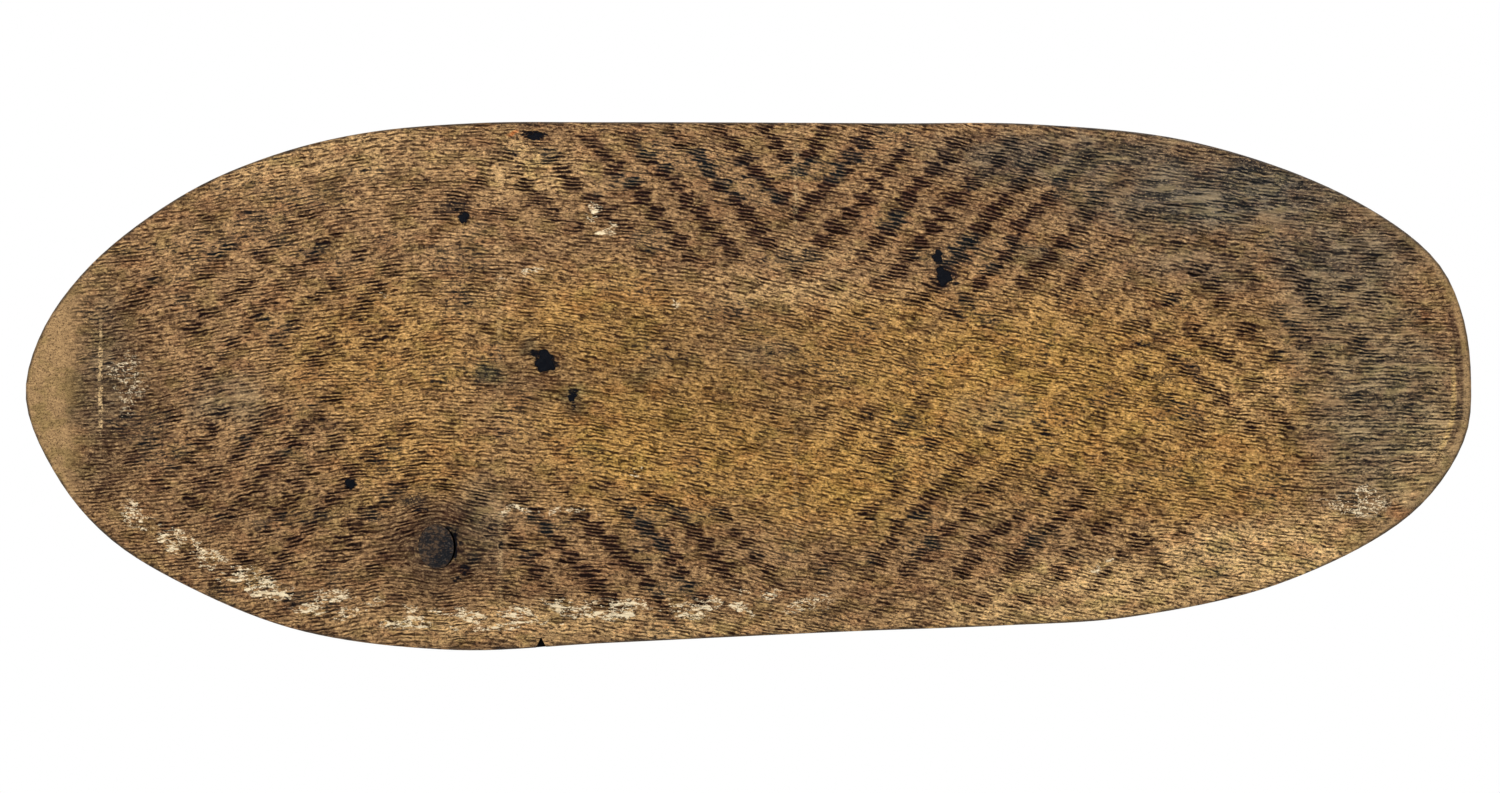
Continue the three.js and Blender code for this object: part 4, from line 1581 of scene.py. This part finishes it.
class FacePainter:
    """Paints the fluted face's material out of masks, each a socket of the same shader tree."""

    def __init__(self, face: FlutedFace) -> None:
        """Lays out what the masks are placed by, in millimetres: the drift gives them ragged edges."""
        self.face = face
        self.surface = Surface("fluted_face")
        self.bench = bench = self.surface.bench
        self.place = bench.place_in_mm()
        self.x, _, self.z = bench.axes(self.place)
        self.rim_distance = bench.add("Attribute", attribute_name="rim_distance").outputs["Fac"]
        flute_map = bench.add("UVMap", uv_map="flutes").outputs["UV"]
        self.cuts = face.effects.cuts.place(bench, flute_map, self.place)
        self.speckle = self.noise((1.25, 1.0, 0.85), 4, 0.75)
        ragged = bench.add("TexNoise", bench.scale(self.place, 1 / face.drift_grain))
        ragged.inputs["Scale"].default_value = 1.0
        even = bench.point("SUBTRACT", ragged.outputs["Color"], (0.5, 0.5, 0.5))
        self.drift = bench.scale(even, face.drift_reach)
        self.far = bench.point("ADD", self.place, self.drift)
        self.fluted = self.fluted_part()

    def noise(self, stretch: Sequence[float], detail: float = 2.0, rough: float = 0.5) -> Socket:
        """Noise over the face, as a bench makes it."""
        return self.bench.noise(self.place, stretch, detail, rough)

    def near(self, share: float) -> Socket:
        """The place, moved by a share of the drift."""
        return self.bench.point("ADD", self.place, self.bench.scale(self.drift, share))

    def join(self, where: Socket, patches: Sequence[Patch]) -> Socket:
        """Joins soft patches into one mask.

        Args:
            where: The place that they are looked up at.
            patches: The patches.

        Returns:
            The mask.
        """
        face, bench = self.face, self.bench
        total: object = 0.0
        for patch in patches:
            x, z = face.form.place(patch.along_share, patch.across_share)
            mask = face.effects.patch.mask(bench, where, x / MM, z / MM, patch.reach_x, patch.reach_z)
            total = bench.calc("MAXIMUM", total, bench.times(mask, patch.strength))
        return total

    def fluted_part(self) -> Socket:
        """The part that the gouge has reached.

        Returns:
            Its mask, 0 on the plain left tip and on the plain rim of the right end.
        """
        face, bench = self.face, self.bench
        x = bench.axes(self.near(0.2))[0]
        left, right = face.flutes.left_margin / MM, face.flutes.right_margin / MM
        fluted = bench.times(bench.rise(x, left - 9, left + 6), bench.fall(x, right - 1, right + 4))
        start, width = face.bare_rim_start / MM, face.bare_rim_width / MM
        by_rim = bench.fall(self.rim_distance, width - 1, width + 1)
        return bench.times(fluted, bench.rest(bench.times(bench.rise(x, start, start + 50), by_rim)))

    def ground(self) -> Socket:
        """The broad colours of the wood before any marks.

        Returns:
            The colour.
        """
        face, bench, far, fluted = self.face, self.bench, self.far, self.fluted
        golden, pale = self.join(far, GOLDEN_PATCHES), self.join(far, PALE_PATCHES)
        ground = bench.cover(face.brown, (golden, face.gold), (pale, face.pale))
        ground = bench.cover(
            bench.mix(fluted, face.tip_tan, ground),
            (self.join(far, DARK_PATCHES), 0.85, face.dark),
            (self.join(far, GREY_PATCHES), 0.85, face.grey),
            (self.join(far, SHADOW_PATCHES), 0.9, face.shadow),
            (self.join(far, MOSS_PATCHES), 0.7, face.moss),
            (self.join(far, RUST_PATCHES), 0.8, face.rust),
        )
        reddish = bench.rise(self.noise((17, 15, 9), 3), 0.5, 0.64, 0.5)
        ground = bench.mix(bench.times(reddish, fluted), ground, face.red_tint, "MULTIPLY")
        elsewhere = bench.point("ADD", self.place, (90, 0, 40))
        olive = bench.rise(bench.noise(elsewhere, (15, 15, 9), 2), 0.5, 0.66, 0.7)
        ground = bench.mix(olive, ground, face.olive_tint, "MULTIPLY")
        mottle = bench.fall(self.noise((12, 9, 7), 3, 0.6), 0.36, 0.5, 0.4)
        return bench.mix(bench.times(mottle, fluted), ground, face.purple_mottle_and_zigzag_dirt_shade)

    def end_line(self, line: EndLine) -> Socket:
        """The mask of one line that follows the outline at the right end.

        Args:
            line: The line's sizes.

        Returns:
            Its mask.
        """
        bench, start = self.bench, self.face.bare_rim_start / MM
        off = bench.calc("ABSOLUTE", bench.calc("SUBTRACT", self.rim_distance, line.distance))
        return bench.times(
            bench.fall(off, 0.4 * line.half_width, 1.5 * line.half_width),
            bench.rise(self.x, start, start + 20),
            bench.rise(self.z, line.low_z - 6, line.low_z + 6),
            bench.fall(self.z, line.high_z - 10, line.high_z + 6),
            line.strength,
        )

    def marks(self, ground: Socket) -> tuple[Socket, Socket]:
        """Lays the marks that follow the flutes over the ground.

        The zigzag is cut deep where it is strong. Its patches and strokes, and the lines in the valleys, are
        dark with dirt and painted shade, and the crests carry painted highlights. Where the wood is calm,
        grey or in painted shadow, its dark marks turn bluish.

        Args:
            ground: The wood's broad colours.

        Returns:
            The colour, and how strongly each place is marked by a stroke.
        """
        face, bench, fluted, speckle = self.face, self.bench, self.fluted, self.speckle
        line, zigzag, stroke, crest, fibre, luck = self.cuts
        strong = self.join(self.far, ZIGZAG_PATCHES)
        calm = self.join(self.far, (*GREY_PATCHES, *SHADOW_PATCHES))
        soft = bench.adjust(fluted, 0.65, 0.35)
        cool = bench.calc("MAXIMUM", calm, bench.rise(self.noise((34, 30, 20), 2), 0.53, 0.66))
        grain_valley_dirt_and_shade_tone = bench.mix(cool, face.brown_grain_valley_dirt_and_shade, face.blue_grain_valley_dirt_and_shade)
        # Brightened copies of the ground: the first paints pale fibres and streaks and a painted highlight
        # along the crests, the second paints glints, a painted highlight.
        pale_grain_and_crest_highlight, glint_highlight = (
            bench.mix(share, bench.mix(1.0, ground, gain, "MULTIPLY"), face.pale_grain_and_highlight_tone)
            for share, gain in ((0.22, face.pale_grain_and_highlight_gain), (0.3, face.glint_gain))
        )
        streak = self.noise((26, 9, 3.6), 4, 0.65)
        long = bench.rise(self.noise((14, 6, 2), 3), 0.46, 0.58, 0.6)
        colour = bench.cover(
            ground,
            (bench.fall(fibre, 0.405, 0.475, 0.88), soft, grain_valley_dirt_and_shade_tone),
            (bench.rise(fibre, 0.53, 0.605, 0.78), soft, pale_grain_and_crest_highlight),
            (bench.fall(speckle, 0.4, 0.46, 0.75), soft, grain_valley_dirt_and_shade_tone),
            # Dark broken lines in the flute valleys: dirt and painted shade.
            (line, 0.82, fluted, grain_valley_dirt_and_shade_tone),
            (bench.rise(streak, 0.52, 0.6, 0.72), calm, face.blue_streak_and_stroke_dirt_shade),
            (bench.fall(streak, 0.38, 0.46, 0.6), calm, pale_grain_and_crest_highlight),
            # Pale lines along the crests where the wood is calm: a painted highlight.
            (crest, calm, long, pale_grain_and_crest_highlight),
        )
        shown = bench.rise(bench.adjust(strong, 1.1, luck), 0.45, 1.1)
        amount = bench.times(shown, bench.adjust(strong, 0.82, 0.18), fluted)
        patch = bench.times(zigzag, amount, 0.74)
        marked = bench.times(stroke, bench.calc("POWER", amount, 0.5))
        black = bench.calc("MINIMUM", bench.times(marked, 1.6), 0.98)
        off_patch = bench.rest(bench.times(patch, 0.6))
        colour = bench.cover(
            colour,
            # Dark zigzag patches where the cuts run deep: dirt and painted shade.
            (patch, bench.mix(cool, face.purple_mottle_and_zigzag_dirt_shade, face.blue_zigzag_dirt_and_shade)),
            # Near-black strokes in the deeper cuts: dirt and painted shade.
            (black, bench.mix(cool, face.black_stroke_dirt_and_shade, face.blue_streak_and_stroke_dirt_shade)),
            # Glints on the crests: a painted highlight.
            (crest, bench.rise(speckle, 0.55, 0.61, 0.9), off_patch, fluted, glint_highlight),
        )
        return colour, marked

    def lower_wear(self) -> Socket:
        """The band along the lower edge where the face is rubbed pale.

        Returns:
            Its mask.
        """
        face, bench = self.face, self.bench
        start, end = (share * face.form.half_length / MM for share in face.wear_ends)
        wavy = bench.adjust(self.noise((22, 22, 22), 2), 16.0, self.rim_distance)
        middle = face.wear_distance / MM + 8.0
        band = bench.times(
            bench.rise(wavy, middle - 9, middle - 4),
            bench.fall(wavy, middle + 1, middle + 8),
            bench.fall(self.z, -50, -30),
            bench.rise(self.x, start - 12, start + 8),
            bench.fall(self.x, end - 60, end + 12),
        )
        return bench.times(band, bench.rise(self.noise((16, 9, 9), 2), 0.4, 0.52))

    def flakes(self, worn: Socket) -> Socket:
        """Where the pale wear shows: crooked strands and flakes, fewer where the wear is weak.

        Args:
            worn: How strongly each place is worn.

        Returns:
            Their mask.
        """
        bench = self.bench
        strand = bench.calc("ABSOLUTE", bench.calc("SUBTRACT", self.noise((9, 5, 4), 4, 0.6), 0.5))
        fine, shown = bench.rise(self.speckle, 0.46, 0.52), bench.rise(worn, 0.1, 0.4)
        chain = bench.times(bench.fall(strand, 0.012, 0.028), fine, shown)
        lack = bench.adjust(worn, 0.14, -0.14)
        flake = bench.rise(bench.calc("ADD", self.noise((6, 3, 2.4), 5, 0.7), lack), 0.51, 0.54)
        return bench.calc("MAXIMUM", chain, flake)

    def paint(self) -> Material:
        """Lays the ground, the marks, the wear and the stains over one another.

        Returns:
            The material.
        """
        face, bench = self.face, self.bench
        line, _, _, crest, fibre, _ = self.cuts
        dark_line, gold_line = self.end_line(DARK_END_LINE), self.end_line(GOLD_END_LINE)
        ground = bench.cover(self.ground(), (dark_line, face.end_purple), (gold_line, face.end_gold))
        colour, marked = self.marks(ground)
        pores = bench.fall(self.noise((0.9, 0.9, 0.9), 3, 0.8), 0.4, 0.47, 0.75)
        broken = bench.rise(self.noise((5, 5, 5), 2), 0.42, 0.54)
        ridges = self.join(self.near(0.06), RIDGE_PATCHES)
        worn = bench.calc("MAXIMUM", self.join(self.far, WORN_PATCHES), self.lower_wear())
        close = self.near(0.1)
        ragged = bench.adjust(self.noise((2.6, 1.8, 1.2), 4, 0.75), 2.4, -1.2)
        blots = bench.calc("ADD", self.join(close, BLOT_PATCHES), ragged)
        rim = bench.rise(self.noise((14, 8, 8), 3), 0.36, 0.56, 0.9)
        colour = bench.cover(
            colour,
            (pores, bench.rest(self.fluted), face.brown_grain_valley_dirt_and_shade),
            (ridges, bench.rise(self.speckle, 0.46, 0.55), broken, face.ridge_tan),
            (self.flakes(worn), bench.rise(worn, 0.02, 0.3), 0.92, face.worn_white),
            (self.join(close, STAIN_PATCHES), bench.fall(self.speckle, 0.5, 0.62, 0.9), face.stain_grey),
            (bench.rise(blots, 0.5, 0.75, 0.97), face.blot_black),
            # Darker within a few millimetres of the outline.
            (bench.fall(self.rim_distance, 0.3, 2.4), rim, face.rim_edge_dark),
        )
        height = bench.times(line, self.fluted, -0.4)
        for mark, amount in ((marked, -0.5), (self.speckle, 0.5), (fibre, 0.6)):
            height = bench.adjust(mark, amount, height)
        rough = bench.adjust(worn, 0.2, bench.adjust(crest, -0.12, 0.66))
        return self.surface.finish(colour, rough, height, bump=0.8, shine=0.05)


@dataclass(frozen=True)
class ToolCutWood:
    """Plain wood left from the tool: grain along the board, grime in the low places, hand polish."""

    name: str
    effects: Effects
    light: Colour
    deep: Colour
    grime: Colour
    roughness: float
    fibre_height: float = 0.12

    def build(self) -> Material:
        """Builds the material.

        Returns:
            The material.
        """
        surface = Surface(self.name)
        bench = surface.bench
        place = bench.place_in_mm()
        streak, fibre, pore = self.effects.grain.place(bench, place)
        cloud = bench.noise(place, (70, 34, 26), 4, 0.6)
        colour = bench.cover(
            self.light,
            (bench.rise(streak, 0.32, 0.68), self.deep),
            (bench.rise(fibre, 0.35, 0.75, 0.5), self.deep),
            (pore, 0.6, self.grime),
            (bench.rise(cloud, 0.46, 0.66, 0.5), self.grime),
        )
        rough = bench.adjust(cloud, 0.24, self.roughness - 0.12)
        height = bench.adjust(pore, -0.1, bench.times(fibre, self.fibre_height))
        return surface.finish(colour, rough, height, bump=0.7)


@dataclass(frozen=True)
class KnotWood:
    """The dead knot: mottled brown like the board, blue-black in patches where it has split away."""

    form: BoardForm
    effects: Effects
    brown: Colour = tone(92, 70, 50)
    shade: Colour = tone(24, 20, 20)
    knot_blue_black: Colour = tone(5, 8, 17)
    grey: Colour = tone(116, 106, 96)

    # Each blue-black patch's middle and reach along X and Z, in millimetres from the knot's middle.
    dark_spot_places: tuple[tuple[float, float, float, float], ...] = (
        (5.6, -1.0, 5.4, 10.5), (1.5, -7.0, 6.5, 6.0), (-4.0, 4.5, 4.6, 3.6),
    )

    def build(self) -> Material:
        """Builds the material.

        Returns:
            The material.
        """
        surface = Surface("dead_knot_wood")
        bench = surface.bench
        place = bench.place_in_mm()
        middle_x, middle_z = LARGE_KNOT.middle(self.form)
        local = bench.point("SUBTRACT", place, (middle_x / MM, 0.0, middle_z / MM))
        x, _, z = bench.axes(local)
        oval = bench.calc("DIVIDE", LARGE_KNOT.half_x / MM, LARGE_KNOT.half_z / MM)
        away = bench.point("LENGTH", bench.gather(x, bench.times(z, oval)))
        wavy = bench.adjust(bench.noise(place, (5, 5, 5), 3), 5.0, away)
        rings = bench.adjust(bench.calc("SINE", bench.times(wavy, 3.6)), 0.5, 0.5)
        mottle = bench.noise(place, (2.6, 2.6, 1.6), 4, 0.7)
        speckle = bench.noise(place, (1.0, 1.0, 0.7), 3, 0.7)
        right, low, upper = (self.effects.patch.mask(bench, local, *knot_blue_black) for knot_blue_black in self.dark_spot_places)
        dark_spot_mask = bench.calc("MAXIMUM", bench.calc("MAXIMUM", right, low), bench.times(upper, 0.8))
        colour = bench.cover(
            self.brown,
            (bench.fall(mottle, 0.48, 0.56, 0.94), self.shade),
            (rings, 0.25, self.shade),
            (dark_spot_mask, bench.fall(mottle, 0.52, 0.66), self.knot_blue_black),
            (bench.rise(speckle, 0.56, 0.66, 0.4), self.grey),
        )
        height = bench.adjust(mottle, 1.2, bench.times(speckle, 0.8))
        return surface.finish(colour, bench.adjust(speckle, 0.3, 0.5), height, bump=0.8, shine=0.2)


@dataclass(frozen=True)
class Resin:
    """Black plant resin: glossy where rubbed, dull and dusty in its dips."""

    name: str
    black: Colour
    rusty: Colour
    roughness: float
    grain: float
    sheen: float = 0.25

    def build(self) -> Material:
        """Builds the material.

        Returns:
            The material.
        """
        surface = Surface(self.name)
        bench = surface.bench
        place = bench.place_in_mm()
        lumps = bench.noise(place, (self.grain, self.grain, self.grain), 4, 0.6)
        fine = bench.noise(place, (0.4, 0.4, 0.4), 2)
        colour = bench.mix(bench.rise(lumps, 0.5, 0.72, 0.6), self.black, self.rusty)
        rough = bench.adjust(bench.rise(lumps, 0.4, 0.65), 0.3, self.roughness)
        return surface.finish(colour, rough, bench.adjust(fine, 0.1, lumps), bump=0.6, shine=self.sheen)


# The studio


@dataclass(frozen=True)
class Studio:
    """A plain pale floor, soft lights and a camera square to the board, as in the photograph."""

    picture_width: int = 1500
    shield_middle_px: tuple[float, float] = (748.5, 386.0)
    picture_middle_px: tuple[float, float] = (750.0, 396.5)
    pixel_size: float = 0.526 * MM
    distance: float = 4.0
    view_end: float = 20.0
    sensor_width: float = 36.0
    floor_z: float = -0.42
    floor_size: float = 3.2
    floor_grey: Colour = tone(226, 226, 224)
    ambient: float = 0.62

    def add_camera(self) -> None:
        """Sets the camera so that the rim's plane fills the frame as it does in the photograph."""
        data = bpy.data.cameras.new("camera")
        data.sensor_width = self.sensor_width
        data.lens = self.sensor_width * self.distance / (self.picture_width * self.pixel_size)
        data.clip_end = self.view_end
        camera = bpy.data.objects.new("camera", data)
        x = (self.picture_middle_px[0] - self.shield_middle_px[0]) * self.pixel_size
        z = (self.shield_middle_px[1] - self.picture_middle_px[1]) * self.pixel_size
        camera.location = (x, -self.distance, z)
        camera.rotation_euler = (math.pi / 2, 0, 0)
        bpy.context.scene.collection.objects.link(camera)
        bpy.context.scene.camera = camera

    def add_light(self, name: str, place: tuple[float, float, float], size: float, power: float) -> None:
        """Adds one softbox that faces the shield.

        Args:
            name: Its name.
            place: Where it stands.
            size: The length of its sides.
            power: Its power in watts.
        """
        data = bpy.data.lights.new(name, "AREA")
        data.size = size
        data.energy = power
        light = bpy.data.objects.new(name, data)
        light.location = place
        light.rotation_mode = "QUATERNION"
        light.rotation_quaternion = (-Vector(place)).to_track_quat("-Z", "Y")
        bpy.context.scene.collection.objects.link(light)

    def add_world(self) -> None:
        """Sets a white surround that lights the shield less than it shows."""
        world = bpy.data.worlds.new("surround")
        world.use_nodes = True
        bench = Bench(world.node_tree)
        seen = bench.add("LightPath").outputs["Is Camera Ray"]
        strength = bench.adjust(seen, 1.0 - self.ambient, self.ambient)
        background = world.node_tree.nodes["Background"]
        bench.feed_named(background, {"Color": (1, 1, 1, 1), "Strength": strength})
        bpy.context.scene.world = world

    def add_floor(self) -> None:
        """Lays the plain floor below the shield."""
        mesh = bmesh.new()
        bmesh.ops.create_grid(mesh, x_segments=1, y_segments=1, size=self.floor_size / 2)
        bmesh.ops.translate(mesh, vec=Vector((0, 0, self.floor_z)), verts=mesh.verts)
        floor = as_object("floor", mesh)
        paint = Surface("floor_paint")
        speckle = paint.bench.noise(paint.bench.place_in_mm(), (4, 4, 4), 2)
        looks = {"Base Color": self.floor_grey, "Roughness": paint.bench.adjust(speckle, 0.2, 0.7)}
        paint.bench.feed_named(paint.shader, looks)
        floor.data.materials.append(paint.material)

    def build(self) -> None:
        """Builds the whole studio."""
        self.add_camera()
        self.add_light("key", (-1.3, -1.9, 1.7), 1.5, 42)
        self.add_light("fill", (1.6, -2.1, 0.5), 1.6, 16)
        self.add_light("behind", (0.9, 2.0, 1.4), 1.5, 20)
        self.add_world()
        self.add_floor()
        scene = bpy.context.scene
        scene.view_settings.view_transform = "Standard"
        scene.view_settings.look = "None"


def finish_piece(piece: Piece, material: Material) -> None:
    """Gives a piece one material and smooth faces with crisp edges.

    Args:
        piece: The piece.
        material: The material.
    """
    piece.data.materials.clear()
    piece.data.materials.append(material)
    piece.data.polygons.foreach_set("material_index", np.zeros(len(piece.data.polygons), dtype=np.int32))
    piece.data.set_sharp_from_angle(angle=CRISP_ANGLE)


def show(piece: Piece, nodes: Sequence[str]) -> None:
    """Hands a finished piece to the frame and reports it.

    Args:
        piece: The piece.
        nodes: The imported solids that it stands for.
    """
    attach(piece, "root")
    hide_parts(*nodes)
    triangles = sum(len(face.vertices) - 2 for face in piece.data.polygons)
    LOG.info("%s: %d triangles", piece.name, triangles)


def main() -> None:
    """Builds every piece of the shield and its studio."""
    logging.basicConfig(level=logging.INFO, format="%(message)s")
    form, sizes = BoardForm(), GripSizes()
    flutes, parts = Flutes(form), BossAndWell(form, sizes)
    effects = Effects(SoftPatch(), WoodGrain(), FluteCuts(flutes))

    stops = [ResinStop(form, knot) for knot in STOPS]
    large_knot = EncasedKnot(form, LARGE_KNOT)
    carved = CarvedBoard(form, flutes, HollowBack(form), parts)
    board = carved.make(stops, large_knot)
    back_tones = tone(166, 128, 84), tone(116, 84, 54), tone(70, 51, 37)
    back_wood = ToolCutWood("hollowed_back", effects, *back_tones, roughness=0.62)
    # The inside of the notch and of the crack beside the large knot is painted near-black: painted shade.
    grime = Resin("crack_painted_shade", tone(14, 11, 11), tone(40, 30, 24), 0.8, 2.0, sheen=0.1)
    finishes = (FlutedFace(form, flutes, effects), back_wood, grime)
    carved.dress(board, large_knot, [finish.build() for finish in finishes])
    show(board, ["shield_body"])

    grip_tones = tone(120, 82, 50), tone(84, 54, 32), tone(48, 32, 22)
    grip_wood = ToolCutWood("polished_grip", effects, *grip_tones, roughness=0.42, fibre_height=0.06)
    grip = GripBar(sizes).make([parts.make_peg_blank(side, sizes.seat_gap) for side in Side])
    finish_piece(grip, grip_wood.build())
    show(grip, ["grip_bar"])

    peg_tones = tone(158, 122, 80), tone(110, 80, 50), tone(66, 48, 34)
    peg_material = ToolCutWood("peg_ends", effects, *peg_tones, roughness=0.7).build()
    bed_material = Resin("bed_resin", tone(34, 28, 25), tone(66, 48, 36), 0.5, 3.0, sheen=0.4).build()
    for side in Side:
        word = side.name.lower()
        peg = parts.make_peg_blank(side, 0)
        peg.name = peg.data.name = f"peg_{word}"
        carve(peg, Join.KEEP_COMMON, [parts.make_boss()])
        finish_piece(peg, peg_material)
        show(peg, [f"grip_peg_{word}"])
        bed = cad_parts[f"resin_bed_{word}"]
        bed.data.materials.clear()
        bed.data.materials.append(bed_material)

    stop_material = Resin("stop_resin", tone(5, 8, 16), tone(18, 16, 20), 0.3, 1.6, sheen=0.06).build()
    for stop in stops:
        lump = stop.make()
        finish_piece(lump, stop_material)
        show(lump, [stop.knot.node])
    knot = large_knot.make()
    finish_piece(knot, KnotWood(form, effects).build())
    show(knot, ["large_knot"])

    Studio().build()


if __name__ == "__main__":
    main()
